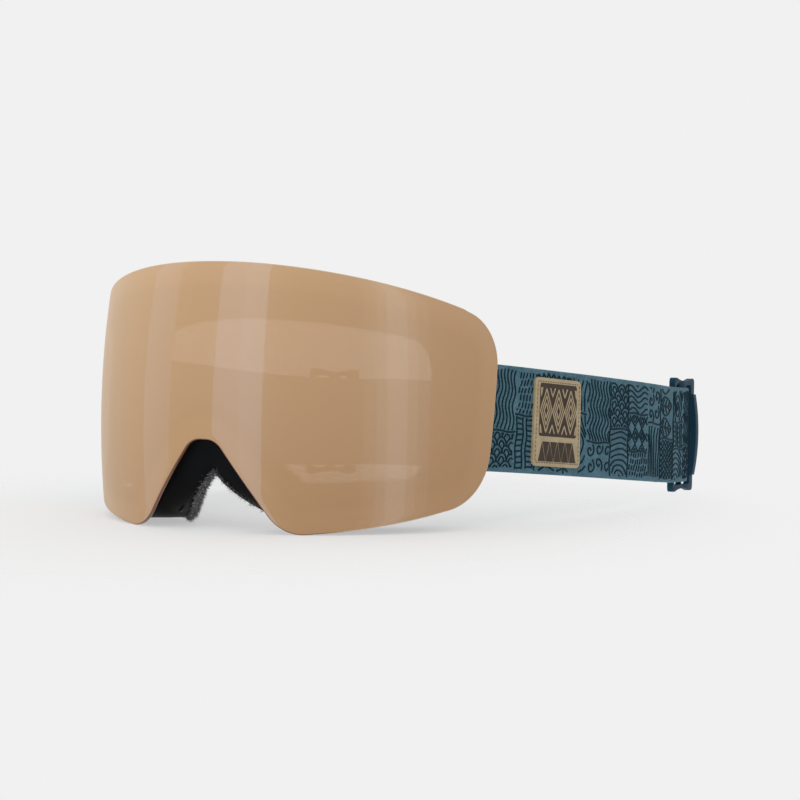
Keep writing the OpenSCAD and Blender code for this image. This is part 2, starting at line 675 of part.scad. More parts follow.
module strap_side() { ribbon(strap_path, -strap_w / 2, strap_w / 2, -strap_t / 2, strap_t / 2); }
module strap_left() { color("#2F5663") settled() strap_side(); }
module strap_right() { color("#2F5663") settled() mirror([1, 0, 0]) strap_side(); }
module strap_back() {
    color("#2F5663") settled()
        ribbon(back_path, -strap_w / 2, strap_w / 2, -strap_t / 2, strap_t / 2);
}

// Silicone lines that keep the strap from slipping
module strap_grip() {
    path = [for (i = [turn_n + 1 : len(back_path) - turn_n - 2]) back_path[i]];
    for (z = [-1, 0, 1]) color("#1F3A47") settled()
        ribbon(path, z * grip_step - grip_w / 2, z * grip_step + grip_w / 2,
            -strap_t / 2 - 0.1 - grip_t, -strap_t / 2 - 0.1);
}

module strap_patch() {
    span = run_d[1] - bar[1];
    from = patch_y / span;
    n = 14;
    color("#A8967B") settled() loft([for (i = [0 : n])
        let(e = patch_l * (1 - cos(180 * i / n)) / 2, edge = min(e, patch_l - e),
            cut = edge < patch_r ? patch_r - sqrt(pow(patch_r, 2) - pow(patch_r - edge, 2)) : 0,
            st = run_at(from + e / span, false), h = run_dir(from + e / span),
            p = st[0], c = st[1], out = unit(cross([h[0], h[1], 0], c)),
            a = patch_h / 2 - cut, near = strap_t / 2 + 0.05, far = near + patch_t)
        [p - c * a + out * far, p + c * a + out * far, p + c * a + out * near, p - c * a + out * near]]);
}

// Sliders

module rounded(w, h, r) {
    square([w - 2 * r, h], center = true);
    square([w, h - 2 * r], center = true);
    for (x = [-1, 1], y = [-1, 1]) translate([x * (w / 2 - r), y * (h / 2 - r)]) circle(r);
}
module slot(from, w) { translate([from + w / 2, 0]) rounded(w, slot_h, 1.4); }

module slider_plate() {
    half = slider_l / 2 - crest_w;
    bow = (half * half + scallop * scallop) / (2 * scallop);
    difference() {
        translate([slider_l / 2, 0]) rounded(slider_l, slider_h, 2.2);
        for (y = [-1, 1]) translate([slider_l / 2, y * (slider_h / 2 + bow - scallop)])
            circle(bow, $fn = 160);
        slot(front_bar, front_slot);
        slot(rear_u - rear_slot, rear_slot);
    }
}

// A crowned block on the rear bar for the thumb
module thumb_grip() {
    crown = (pow(grip_l / 2, 2) + pow(grip_fall, 2)) / (2 * grip_fall);
    intersection() {
        translate([slider_t / 2 - 0.1, rear_u + 0.3, -grip_l / 2])
            cube([grip_h + 1, rear_bar - 0.9, grip_l]);
        translate([slider_t / 2 + grip_h - crown, 0, 0]) rotate([-90, 0, 0])
            cylinder(r = crown, h = 2 * slider_l, $fn = 160);
    }
}
module slider() {
    difference() {
        translate([slider_x, slider_y, slider_z]) rotate([0, 0, slider_turn])
            rotate([-slider_slope, 0, 0]) union() {
                rotate([90, 0, 90]) linear_extrude(slider_t, center = true) slider_plate();
                thumb_grip();
            }
        translate([0, 0, -slider_h]) cube([4 * slider_x, 4 * slider_y, 2 * slider_h], center = true);
    }
}
module slider_left() { color("#22394A") settled() slider(); }
module slider_right() { color("#22394A") settled() mirror([1, 0, 0]) slider(); }

outer_lens();
lens_gasket();
inner_lens();
lens_carrier();
lens_magnets();
frame_body();
frame_magnets();
foam_base();
foam_core();
fleece_face();
vent_foam_top();
vent_foam_low_left();
vent_foam_low_right();
outrigger_left();
outrigger_right();
strap_bar_left();
strap_bar_right();
outrigger_pins();
strap_left();
strap_right();
strap_back();
strap_grip();
strap_patch();
slider_left();
slider_right();
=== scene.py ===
# %% [markdown]
# # Snow goggles
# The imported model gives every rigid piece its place. This script dresses it: the mirrored lens,
# the black frame, the foam against the face, the woven strap with its raised lines, the leather
# patch and the sliders. All sizes that repeat the construction are in millimetres, and every mesh
# is made in metres.

# %% The frame
import math
import random
import bpy
import bmesh
import numpy as np
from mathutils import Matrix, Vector, kdtree


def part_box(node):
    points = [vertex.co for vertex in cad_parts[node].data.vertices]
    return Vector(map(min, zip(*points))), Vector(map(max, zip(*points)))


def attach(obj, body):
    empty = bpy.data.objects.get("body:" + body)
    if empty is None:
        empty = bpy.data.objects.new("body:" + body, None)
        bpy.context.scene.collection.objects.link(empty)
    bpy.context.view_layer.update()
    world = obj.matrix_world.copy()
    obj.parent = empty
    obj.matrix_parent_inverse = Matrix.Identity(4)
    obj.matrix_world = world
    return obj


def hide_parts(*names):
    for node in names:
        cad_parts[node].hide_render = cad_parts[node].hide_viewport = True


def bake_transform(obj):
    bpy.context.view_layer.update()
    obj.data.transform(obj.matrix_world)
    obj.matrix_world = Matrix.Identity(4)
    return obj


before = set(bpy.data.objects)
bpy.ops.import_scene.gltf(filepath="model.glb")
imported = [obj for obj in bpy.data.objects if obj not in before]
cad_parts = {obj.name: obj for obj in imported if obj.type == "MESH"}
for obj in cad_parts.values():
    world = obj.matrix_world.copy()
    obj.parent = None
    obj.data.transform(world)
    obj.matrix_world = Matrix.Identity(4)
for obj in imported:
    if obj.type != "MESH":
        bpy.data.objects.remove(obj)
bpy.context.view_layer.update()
MM = 0.001

# %% [markdown]
# ## Camera
# The photograph was taken from the wearer's left, a little above the floor, with a long lens. The
# camera stands where a fit to the lens's outline and to both sliders puts it. It is placed from
# the front of the lens, so that it stays right if the model settles elsewhere on its base.


# %% Camera
def new_object(name, data):
    """Puts a mesh, a lamp or a camera in the scene as an object at the origin."""
    made = bpy.data.objects.new(name, data)
    bpy.context.collection.objects.link(made)
    return made


AIM_X, AIM_BEHIND_FRONT, AIM_Z = 62.41, 41.4, 49.98
CAMERA_TURN, CAMERA_RISE, CAMERA_DISTANCE = math.radians(30.05), math.radians(3.237), 965.9

lens_low_corner = Vector(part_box("outer_lens")[0]) / MM
target = Vector((AIM_X, lens_low_corner.y + AIM_BEHIND_FRONT, AIM_Z))
away = Vector((math.sin(CAMERA_TURN) * math.cos(CAMERA_RISE),
               -math.cos(CAMERA_TURN) * math.cos(CAMERA_RISE), math.sin(CAMERA_RISE)))
photo_camera = new_object("photo_camera", bpy.data.cameras.new("photo_camera"))
photo_camera.location = (target + away * CAMERA_DISTANCE) * MM
photo_camera.rotation_euler = away.to_track_quat("Z", "Y").to_euler()
photo_camera.data.lens = 114.4
photo_camera.data.clip_start = 0.01
bpy.context.scene.camera = photo_camera
bpy.context.scene.view_settings.view_transform = "Standard"
print("camera at", [round(c, 4) for c in photo_camera.location])

# %% [markdown]
# ## Small helpers for node trees
# Every tree below is built from the same few moves: put a node down with its settings and wires,
# do one sum, map one range to another, mix two colours. Writing them once keeps each tree short
# enough to read. A new group takes its inputs from a table. There a plain value gives an input's
# kind and its first value, and a word gives only its kind.

# %% Node helpers
SHAPE, VECTOR, COLOUR, NUMBER, THING, FINISH = (
    f"NodeSocket{kind}" for kind in ("Geometry", "Vector", "Color", "Float", "Object", "Material"))


def feed(tree, node, wires):
    """Wires inputs to the outputs of other nodes, and sets the rest to plain values."""
    for key, value in wires.items():
        if isinstance(value, bpy.types.NodeSocket):
            tree.links.new(value, node.inputs[key])
        else:
            node.inputs[key].default_value = value


def put(tree, kind, wires=None, **settings):
    node = tree.nodes.new(kind)
    for key, value in settings.items():
        setattr(node, key, value)
    feed(tree, node, wires or {})
    return node


def calc(tree, operation, *values):
    return put(tree, "ShaderNodeMath", dict(enumerate(values)), operation=operation).outputs[0]


def vector(tree, operation, first, second=None):
    place = 3 if operation == "SCALE" else 1
    node = put(tree, "ShaderNodeVectorMath", {0: first} if second is None else {0: first, place: second},
               operation=operation)
    return node.outputs["Value" if operation in ("LENGTH", "DOT_PRODUCT") else "Vector"]


def split(tree, place):
    return put(tree, "ShaderNodeSeparateXYZ", {0: place}).outputs


def combine(tree, *values):
    return put(tree, "ShaderNodeCombineXYZ", dict(enumerate(values))).outputs[0]


def ramp(tree, value, low, high, to_low=0.0, to_high=1.0, **settings):
    wires = {0: value, 1: low, 2: high, 3: to_low, 4: to_high}
    return put(tree, "ShaderNodeMapRange", wires, **settings).outputs[0]


def noise(tree, where, scale, **more):
    return put(tree, "ShaderNodeTexNoise", {"Vector": where, "Scale": scale, **more}).outputs[0]


def relief(tree, height, strength, depth):
    return put(tree, "ShaderNodeBump", {"Height": height, "Strength": strength, "Distance": depth}).outputs[0]


def blend_colour(tree, share, first, second):
    first, second = ((*c, 1) if isinstance(c, tuple) else c for c in (first, second))
    return put(tree, "ShaderNodeMix", {0: share, 6: first, 7: second}, data_type="RGBA").outputs[2]


def own_place(tree):
    return put(tree, "ShaderNodeTexCoord").outputs["Object"]


def new_group(name, inputs, outputs, kind="GeometryNodeTree"):
    tree = bpy.data.node_groups.new(name, kind)
    if kind == "GeometryNodeTree":
        tree.is_modifier = True
    for direction, table in (("INPUT", inputs), ("OUTPUT", outputs)):
        for label, value in table.items():
            socket_kind = {str: value, float: NUMBER, int: "NodeSocketInt", tuple: COLOUR}[type(value)]
            socket = tree.interface.new_socket(label, in_out=direction, socket_type=socket_kind)
            if not isinstance(value, str):
                socket.default_value = value
    return tree, tree.nodes.new("NodeGroupInput").outputs, tree.nodes.new("NodeGroupOutput")


# %% [markdown]
# ## Floor, background and light
# The goggles stand on a pale floor in an even pale room. The room lights the floor to exactly the
# background's grey, so no horizon shows. A plain white floor would hold too dark a shadow, so half
# of it lets the background through, and more with distance. The room is a little brighter on the
# left, which gives the lens its shading, and a lamp high on the left gives the cloth its relief.

# %% Floor and background
PALE = (0.879, 0.879, 0.879, 1)
FLOOR_GREY = (0.86, 0.86, 0.86, 1)
SHADOW_MIDDLE, SHADOW_NEAR, SHADOW_FAR = (-0.03, -0.10, 0), 0.09, 0.28
ROOM_SLANT, ROOM_BRIGHTNESS = (-0.30, -0.12, 0.0), 0.96

floor_mesh = bpy.data.meshes.new("floor")
floor_mesh.from_pydata([(-2, -2, 0), (2, -2, 0), (2, 2, 0), (-2, 2, 0)], [], [(0, 1, 2, 3)])
floor = new_object("floor", floor_mesh)
floor.visible_glossy = False
floor_paint = bpy.data.materials.new("pale_floor")
floor_paint.use_nodes = True
floor_mesh.materials.append(floor_paint)
tree = floor_paint.node_tree
tree.nodes.clear()
reach = vector(tree, "LENGTH", vector(tree, "SUBTRACT", own_place(tree), SHADOW_MIDDLE))
fade = ramp(tree, reach, SHADOW_NEAR, SHADOW_FAR, 0.5, 1.0, interpolation_type="SMOOTHSTEP")
pale = put(tree, "ShaderNodeBsdfDiffuse", {"Color": FLOOR_GREY}).outputs[0]
clear = put(tree, "ShaderNodeBsdfTransparent").outputs[0]
both = put(tree, "ShaderNodeMixShader", {0: fade, 1: pale, 2: clear}).outputs[0]
put(tree, "ShaderNodeOutputMaterial", {0: both})

room = bpy.data.worlds.new("pale_room")
room.use_nodes = True
bpy.context.scene.world = room
tree = room.node_tree
tree.nodes.clear()
path = put(tree, "ShaderNodeLightPath").outputs
seen = calc(tree, "MAXIMUM", path["Is Camera Ray"],
            calc(tree, "MAXIMUM", path["Is Glossy Ray"], path["Is Transmission Ray"]))
way = put(tree, "ShaderNodeTexCoord").outputs["Generated"]
brightness = calc(tree, "ADD", vector(tree, "DOT_PRODUCT", way, ROOM_SLANT), ROOM_BRIGHTNESS)
lit = put(tree, "ShaderNodeBackground", {"Color": (1, 1, 1, 1), "Strength": brightness}).outputs[0]
shown = put(tree, "ShaderNodeBackground", {"Color": PALE, "Strength": 1.0}).outputs[0]
mixed = put(tree, "ShaderNodeMixShader", {0: seen, 1: lit, 2: shown}).outputs[0]
put(tree, "ShaderNodeOutputWorld", {0: mixed})


# %% Lamps
def lamp(name, place, aim, width, height, watts):
    light = bpy.data.lights.new(name, "AREA")
    light.shape, light.size, light.size_y, light.energy = "RECTANGLE", width, height, watts
    holder = new_object(name, light)
    holder.location = place
    holder.rotation_euler = (Vector(place) - Vector(aim)).to_track_quat("Z", "Y").to_euler()
    return holder


key = lamp("key", (-1.2, -1.6, 2.4), (0, 0, 0.05), 1.2, 1.2, 3.5)
key.visible_glossy = False
print("lamps and floor are placed")

# %% [markdown]
# ## Outlines in lens space
# The maker of such goggles draws the lens flat and bends it. So every piece that follows the lens
# is drawn here in lens space first: s along the curve, v up the lens and d behind its outer face.
# An outline is five named places with rounds at its corners: the nose, the lobe, the lower and the
# upper corner, and the brow with its fall. Each piece is drawn in from it.

# %% Outlines
LENS_R, LENS_RV, LENS_LEAN, LENS_MID = 95.0, 380.0, math.radians(3.0), 48.0
LENS_T, LENS_H, KNEE = 1.6, 104.0, 0.75
LENS_LINE = ((5.4, 36.2, 8.4), (33.7, 0, 17.3), (116, 14.4, 24), (122, 82.5, 20), (104, 21.5, 1.2))
FLEECE_LINE = ((0.5, 23.6, 1.6), (33.5, 3.0, 14), (112, 15, 21), (118, 80.5, 18), (101, 20.5, 1, 1.7))
EYE_LINE = ((9.5, 39.5, 8), (37.7, 19, 10), (102.5, 22.4, 12), (107.5, 75.5, 14), (83.5, 8, 0))
FINE = dict(nose=14, leg=8, lobe=16, edge=26, corner=20, side=14)
PLAIN = dict(nose=8, leg=5, lobe=10, edge=16, corner=12, side=8)


def unit(p):
    return p / np.linalg.norm(p)


def rounded_corner(a, b, c, r, steps, sign):
    """Points and inward directions on a round of radius r at b, between a and c."""
    a, b, c = (np.array(q, float) for q in (a, b, c))
    u, w = unit(a - b), unit(c - b)
    half = math.acos(u @ w) / 2
    middle = b + unit(u + w) * r / math.sin(half)
    p, q = b + u * r / math.tan(half) - middle, b + w * r / math.tan(half) - middle
    start = math.atan2(p[1], p[0])
    swing = (math.atan2(q[1], q[0]) - start + math.pi) % (2 * math.pi) - math.pi
    arms = [np.array([math.cos(start + swing * i / steps), math.sin(start + swing * i / steps)])
            for i in range(steps + 1)]
    return [(middle + r * e, -sign * e) for e in arms]


def between(count):
    return [i / (count + 1) for i in range(1, count + 1)]


def low_chain(line, n):
    """The outline's lower half on the left: nose, leg, lobe, lower edge and lower corner."""
    nose_top = (0.0, line[0][1])
    nose = rounded_corner(nose_top, line[0][:2], line[1][:2], line[0][2], n["nose"], -1)
    lobe = rounded_corner(line[0][:2], line[1][:2], line[2][:2], line[1][2], n["lobe"], 1)
    low = rounded_corner(line[1][:2], line[2][:2], line[3][:2], line[2][2], n["corner"], 1)
    hollow = line[4][3] if len(line[4]) > 3 else 0
    leg = [(nose[-1][0] * (1 - t) + lobe[0][0] * t - lobe[0][1] * hollow * 4 * t * (1 - t), lobe[0][1])
           for t in between(n["leg"])]
    a, b = lobe[-1][0], low[0][0]
    run = unit(b - a)
    up = np.array([-run[1], run[0]])
    edge = [(a * (1 - t) + b * t - up * line[4][2] * 4 * t * (1 - t), up) for t in between(n["edge"])]
    return [(np.array(nose_top), np.array([0.0, 1.0]))] + nose + leg + lobe + edge + low


def up_chain(line, n):
    """The outline's upper half on the left: the falling brow and the upper corner."""
    low = low_chain(line, n)
    top_v, fall, half = line[4][0], line[4][1], line[3][0]
    brow = lambda s: top_v - fall * (s / half) ** 2
    knee = half * KNEE
    top = rounded_corner((knee, brow(knee)), line[3][:2], line[2][:2], line[3][2], n["corner"], 1)
    count = len(low) - n["corner"] - 1
    stretch = top[0][0][0] / low[count][0][0]
    places = [low[i][0][0] * stretch for i in range(count)]
    return [(np.array([s, brow(s)]), unit(np.array([-2 * fall * s / half ** 2, -1.0]))) for s in places] + top


def drawn_in(chain, inset):
    return [p + n * inset for p, n in chain]


def both_sides(chain):
    return [(np.array([-p[0], p[1]]), np.array([-n[0], n[1]])) for p, n in chain[:0:-1]] + chain


def closed_line(line, inset, n):
    up, low = drawn_in(up_chain(line, n), inset), drawn_in(low_chain(line, n), inset)
    side = [up[-1] + (low[-1] - up[-1]) * t for t in between(n["side"])]
    right = up + side + low[::-1]
    return np.array(right + [np.array([-p[0], p[1]]) for p in right[-2:0:-1]])


rim_points = closed_line(LENS_LINE, 0, FINE)
print("points round the lens", len(rim_points))

# %% [markdown]
# ## Meshes and pieces
# A sheet is a stack of grids: its two faces and the steps that round its rim. A row of closed
# lines gives either a ring or a bar with two end faces. A finished piece lies in place in its own
# mesh and is shaded smooth up to an angle. Most pieces have their normals recalculated, and all
# but the webbing, its lines and its end stitches ride on the body that carries them.


# %% Mesh helpers
def mesh_of(name, points, faces=(), edges=(), scale=MM):
    mesh = bpy.data.meshes.new(name)
    mesh.from_pydata([tuple(float(c) * scale for c in p) for p in points], edges, faces)
    mesh.update()
    return mesh


def tidy(mesh, merge=1e-6, turn_out=True):
    """Merges points that coincide and turns the faces outward."""
    bm = bmesh.new()
    bm.from_mesh(mesh)
    bmesh.ops.remove_doubles(bm, verts=bm.verts, dist=merge)
    if turn_out:
        bmesh.ops.recalc_face_normals(bm, faces=bm.faces)
    bm.to_mesh(mesh)
    bm.free()
    return mesh


def sheet_mesh(name, grids):
    rows, cols = len(grids[0]), len(grids[0][0])
    size = rows * cols
    last = (len(grids) - 1) * size
    rim = (list(range(cols - 1)) + [i * cols + cols - 1 for i in range(rows - 1)]
           + [(rows - 1) * cols + j for j in range(cols - 1, 0, -1)]
           + [i * cols for i in range(rows - 1, 0, -1)])
    front = [(i * cols + j, (i + 1) * cols + j, (i + 1) * cols + j + 1, i * cols + j + 1)
             for i in range(rows - 1) for j in range(cols - 1)]
    back = [tuple(last + k for k in reversed(face)) for face in front]
    edge = [(g * size + a, g * size + b, (g + 1) * size + b, (g + 1) * size + a)
            for g in range(len(grids) - 1) for a, b in zip(rim, rim[1:] + rim[:1])]
    mesh = mesh_of(name, [p for grid in grids for row in grid for p in row], front + back + edge)
    mesh.polygons.foreach_set("material_index", [0] * len(front) + [1] * len(back) + [2] * len(edge))
    return mesh


def loops_mesh(name, loops, ring=False):
    """A skin over a row of closed lines: joined into a ring, or else closed by two end faces."""
    count, around = len(loops), len(loops[0])
    faces = [(a * around + i, a * around + (i + 1) % around,
              (a + 1) % count * around + (i + 1) % around, (a + 1) % count * around + i)
             for a in range(count if ring else count - 1) for i in range(around)]
    if not ring:
        faces += [tuple(range(around - 1, -1, -1)), tuple((count - 1) * around + i for i in range(around))]
    return mesh_of(name, [p for loop in loops for p in loop], faces)


def joined_mesh(name, parts):
    points, faces = [], []
    for part in parts:
        faces += [tuple(len(points) + v for v in face.vertices) for face in part.polygons]
        points += [tuple(vertex.co) for vertex in part.vertices]
    return mesh_of(name, points, faces, scale=1)


def evaluated(bench):
    """The bench's mesh after its modifiers, as a plain mesh. The bench is cleared away."""
    bpy.context.view_layer.update()
    sheets = bpy.context.evaluated_depsgraph_get()
    made = bpy.data.meshes.new_from_object(bench.evaluated_get(sheets), depsgraph=sheets)
    bpy.data.objects.remove(bench)
    return made


def through(tree, mesh, inputs):
    """The mesh after a geometry node tree with these inputs, as a plain mesh."""
    bench = new_object("bench", mesh)
    step = bench.modifiers.new("tree", "NODES")
    step.node_group = tree
    for item in tree.interface.items_tree:
        if item.item_type == "SOCKET" and item.in_out == "INPUT" and item.name in inputs:
            step[item.identifier] = inputs[item.name]
    return evaluated(bench)


def piece(name, mesh, materials, smooth=40):
    mesh.name = name
    kinds = [face.material_index for face in mesh.polygons]
    mesh.materials.clear()
    for material in materials:
        mesh.materials.append(material)
    mesh.polygons.foreach_set("material_index", kinds if len(materials) > 1 else [0] * len(kinds))
    mesh.shade_smooth()
    mesh.set_sharp_from_angle(angle=math.radians(smooth))
    return new_object(name, mesh)


def book(made, slot, *nodes):
    if nodes:
        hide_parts(*nodes)
    print(made.name, "has", len(made.data.polygons), "faces and the material slot", slot)


def settle(made, body, slot, *nodes):
    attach(made, body)
    book(made, slot, *nodes)
    return made


def settle_foam(made, slot, node):
    settle(made, "goggles", slot, node)


# %% [markdown]
# ## The bend as a geometry node tree
# One rule shapes the lens, the inner lens and each foam layer, so the rule is a node tree: it takes
# a flat mesh in lens space and rolls it on a torus, 95 mm across the face and 380 mm from top to
# bottom, then leans it back. Typing the same sum into every piece would invite one to drift.


# %% The bend
def bend_tree():
    tree, given, result = new_group("bend_to_lens", {
        "Flat": SHAPE, "Radius across": 0.095, "Radius upright": 0.38, "Middle height": 0.048,
        "Lean": 0.05, "Move": VECTOR}, {"Bent": SHAPE})

    def do(operation, *values):
        return calc(tree, operation, *values)

    s, v, d = split(tree, put(tree, "GeometryNodeInputPosition").outputs[0])
    wide, lean = given["Radius across"], given["Lean"]
    angle = do("DIVIDE", s, wide)
    rise = do("POWER", do("ABSOLUTE", do("SUBTRACT", v, given["Middle height"])), 2.0)
    belly = do("DIVIDE", rise, do("MULTIPLY", given["Radius upright"], 2.0))
    radius = do("SUBTRACT", do("SUBTRACT", wide, d), belly)
    depth = do("SUBTRACT", wide, do("MULTIPLY", radius, do("COSINE", angle)))
    cos_lean, sin_lean = do("COSINE", lean), do("SINE", lean)
    x = do("MULTIPLY", radius, do("SINE", angle))
    y = do("ADD", do("MULTIPLY", depth, cos_lean), do("MULTIPLY", v, sin_lean))
    z = do("SUBTRACT", do("MULTIPLY", v, cos_lean), do("MULTIPLY", depth, sin_lean))
    moved = vector(tree, "ADD", combine(tree, x, y, z), given["Move"])
    laid = put(tree, "GeometryNodeSetPosition", {"Geometry": given["Flat"], "Position": moved})
    feed(tree, result, {0: laid.outputs[0]})
    return tree


def raw_place(p, d):
    """The same rule for one point, before the move."""
    r = LENS_R - d - (p[1] - LENS_MID) ** 2 / (2 * LENS_RV)
    depth = LENS_R - r * math.cos(p[0] / LENS_R)
    return Vector((r * math.sin(p[0] / LENS_R), depth * math.cos(LENS_LEAN) + p[1] * math.sin(LENS_LEAN),
                   p[1] * math.cos(LENS_LEAN) - depth * math.sin(LENS_LEAN)))


RIM_ROUND = 0.35
front_y = min(raw_place(p, 0).y for p in closed_line(LENS_LINE, RIM_ROUND, FINE))
low_z = min(raw_place(p, LENS_T - RIM_ROUND).z for p in rim_points)
SHIFT = Vector((0, lens_low_corner.y - front_y, -low_z))
BEND = bend_tree()
BEND_SIZES = {"Radius across": LENS_R * MM, "Radius upright": LENS_RV * MM,
              "Middle height": LENS_MID * MM, "Lean": LENS_LEAN, "Move": tuple(SHIFT * MM)}


def bent(mesh):
    return tidy(through(BEND, mesh, BEND_SIZES))


print("the lens is moved by", [round(c, 3) for c in SHIFT], "mm")

# %% [markdown]
# ## Finishes that several materials share
# Moulded plastic is never perfectly even: it has a fine grain, and its gloss and tone vary a little
# from place to place. Foam has open cells. Each effect is one shader group with named inputs, so
# that every piece uses the same grain at its own strength.


# %% Shader groups
def grain_group():
    tree, given, result = new_group("moulded_grain", {
        "Size": 900.0, "Roughness": 0.4, "Spread": 0.1, "Depth": 0.1, "Colour": (0.1, 0.1, 0.1, 1),
        "Lighter": (0.2, 0.2, 0.2, 1)}, {"Roughness": NUMBER, "Normal": VECTOR, "Colour": COLOUR},
        kind="ShaderNodeTree")
    where = own_place(tree)
    fine, broad = noise(tree, where, given["Size"], Detail=3.0), noise(tree, where, 60.0, Detail=4.0)
    centred = calc(tree, "SUBTRACT", broad, 0.5)
    feed(tree, result, {
        "Roughness": calc(tree, "MULTIPLY_ADD", centred, given["Spread"], given["Roughness"]),
        "Normal": relief(tree, fine, given["Depth"], 0.0002),
        "Colour": blend_colour(tree, ramp(tree, broad, 0.35, 0.75), given["Colour"], given["Lighter"])})
    return tree


def cell_group():
    tree, given, result = new_group("open_cells", {
        "Size": 1400.0, "Depth": 0.6, "Skin": (0.1, 0.1, 0.1, 1), "Pore shade": (0.01, 0.01, 0.01, 1)},
        {"Colour": COLOUR, "Normal": VECTOR}, kind="ShaderNodeTree")
    where = own_place(tree)
    cells = put(tree, "ShaderNodeTexVoronoi", {"Vector": where, "Scale": given["Size"]}).outputs["Distance"]
    mottle = noise(tree, where, 220.0, Detail=5.0)
    # Painted shade: the colour falls to the pore colour at the cells' centres, for the shade in the open
    # pores; the mottle darkens it further at random.
    skin = calc(tree, "MULTIPLY", ramp(tree, cells, 0.15, 0.6), ramp(tree, mottle, 0.3, 0.6))
    feed(tree, result, {"Colour": blend_colour(tree, skin, given["Pore shade"], given["Skin"]),
                        "Normal": relief(tree, skin, given["Depth"], 0.0003)})
    return tree


def new_finish(name, **plain):
    """A material with one Principled shader whose even values are set on its own sockets."""
    material = bpy.data.materials.new(name)
    material.use_nodes = True
    shader = material.node_tree.nodes["Principled BSDF"]
    for key, value in plain.items():
        shader.inputs[key.replace("_", " ")].default_value = value
    return material, material.node_tree, shader


def add_effect(tree, shader, group, wires):
    """Puts a shared effect into a material and wires its outputs to the shader."""
    effect = put(tree, "ShaderNodeGroup", wires, node_tree=group)
    for socket in effect.outputs:
        tree.links.new(socket, shader.inputs["Base Color" if socket.name == "Colour" else socket.name])


GRAIN, CELLS = grain_group(), cell_group()


def moulded(name, colour, lighter, rough, size=900.0, depth=0.12, shine=0.3, **plain):
    material, tree, shader = new_finish(name, Specular_IOR_Level=shine, **plain)
    add_effect(tree, shader, GRAIN, {"Size": size, "Roughness": rough, "Spread": 0.12, "Depth": depth,
                                     "Colour": (*colour, 1), "Lighter": (*lighter, 1)})
    return material


def foamy(name, skin, pore, size, depth):
    material, tree, shader = new_finish(name, Roughness=0.95, Sheen_Weight=0.15, Sheen_Roughness=0.5,
                                        Specular_IOR_Level=0.2)
    add_effect(tree, shader, CELLS, {"Size": size, "Depth": depth, "Skin": (*skin, 1), "Pore shade": (*pore, 1)})
    return material


black_frame = moulded("black_frame", (0.0018, 0.0016, 0.0012), (0.0032, 0.0030, 0.0028), 0.5,
                      depth=0.05, shine=0.05)
black_plastic = moulded("black_plastic", (0.010, 0.010, 0.011), (0.018, 0.018, 0.020), 0.38)
navy_plastic = moulded("navy_plastic", (0.010, 0.042, 0.067), (0.015, 0.052, 0.082), 0.48,
                       depth=0.06, shine=0.05)
seal_rubber = moulded("seal_rubber", (0.012, 0.012, 0.013), (0.02, 0.02, 0.021), 0.7, size=1500.0)
grip_silicone = moulded("grip_silicone", (0.014, 0.034, 0.048), (0.02, 0.045, 0.06), 0.55)
plated_steel = moulded("plated_steel", (0.55, 0.55, 0.57), (0.68, 0.68, 0.70), 0.28, shine=0.5, Metallic=1.0)
base_foam = foamy("base_foam", (0.030, 0.031, 0.034), (0.006, 0.006, 0.007), 1700.0, 0.5)
core_foam = foamy("core_foam", (0.055, 0.056, 0.062), (0.012, 0.012, 0.014), 1200.0, 0.7)
vent_foam = foamy("vent_foam", (0.030, 0.030, 0.033), (0.004, 0.004, 0.005), 800.0, 0.9)
print("shared finishes", len(bpy.data.materials))

# %% [markdown]
# ## The mirrored lens
# The outer lens is one sheet of 1.6 mm polycarbonate, moulded double curved and coated tan, so
# that it hides what is behind it and mirrors the room. A plain bent grid would leave a sharp rim;
# here the stack of grids steps round the polished edge before the whole sheet is bent. The face is
# tan under a clear glossy coat that is weaker where it is seen aslant. Its tan is painted lighter
# towards the top, painted light from the brighter room above. The inside is smoky. The rim's colour
# is painted too: dark brown shade round the nose, and pale elsewhere, partly the sheet's own edge and
# partly a painted highlight. The coating is denser close to the cut edge, so each point of the mesh
# stores how far it is from there.


# %% Lens finishes
def tan_mirror():
    material, tree, shader = new_finish("tan_mirror", Roughness=0.3, Coat_Roughness=0.03, Coat_IOR=1.5,
                                        Specular_IOR_Level=0.15)
    aslant = put(tree, "ShaderNodeLayerWeight", {"Blend": 0.5}).outputs["Facing"]
    x, y, z = split(tree, own_place(tree))
    # Painted light: the base colour is lighter towards the top, for the brighter room the lens mirrors above
    # it. It is also a little lighter towards +x.
    up, side = ramp(tree, z, 0.0, 0.1), ramp(tree, x, -0.09, 0.09)
    low = blend_colour(tree, side, (0.410, 0.240, 0.102), (0.440, 0.250, 0.118))
    high = blend_colour(tree, side, (0.506, 0.318, 0.157), (0.550, 0.335, 0.174))
    behind = put(tree, "ShaderNodeNewGeometry").outputs["Backfacing"]
    from_edge = put(tree, "ShaderNodeAttribute", attribute_name="from_edge").outputs["Fac"]
    front_alpha = calc(tree, "MULTIPLY_ADD", ramp(tree, from_edge, 0.006, 0.010), -0.043, 0.99)
    feed(tree, shader, {"Coat Weight": ramp(tree, aslant, 0.5, 0.85, 0.62, 0.05),
                        "Base Color": blend_colour(tree, up, low, high),
                        "Alpha": calc(tree, "MULTIPLY_ADD", behind, -0.4, front_alpha)})
    return material


def clear_sheet(name, colour, alpha, rough):
    material, tree, shader = new_finish(name, Base_Color=(*colour, 1), Roughness=rough, Coat_Weight=1.0,
                                        Coat_Roughness=0.02)
    haze = noise(tree, own_place(tree), 25.0, Detail=3.0)
    feed(tree, shader, {"Alpha": ramp(tree, haze, 0.3, 0.7, alpha - 0.02, alpha + 0.02)})
    return material


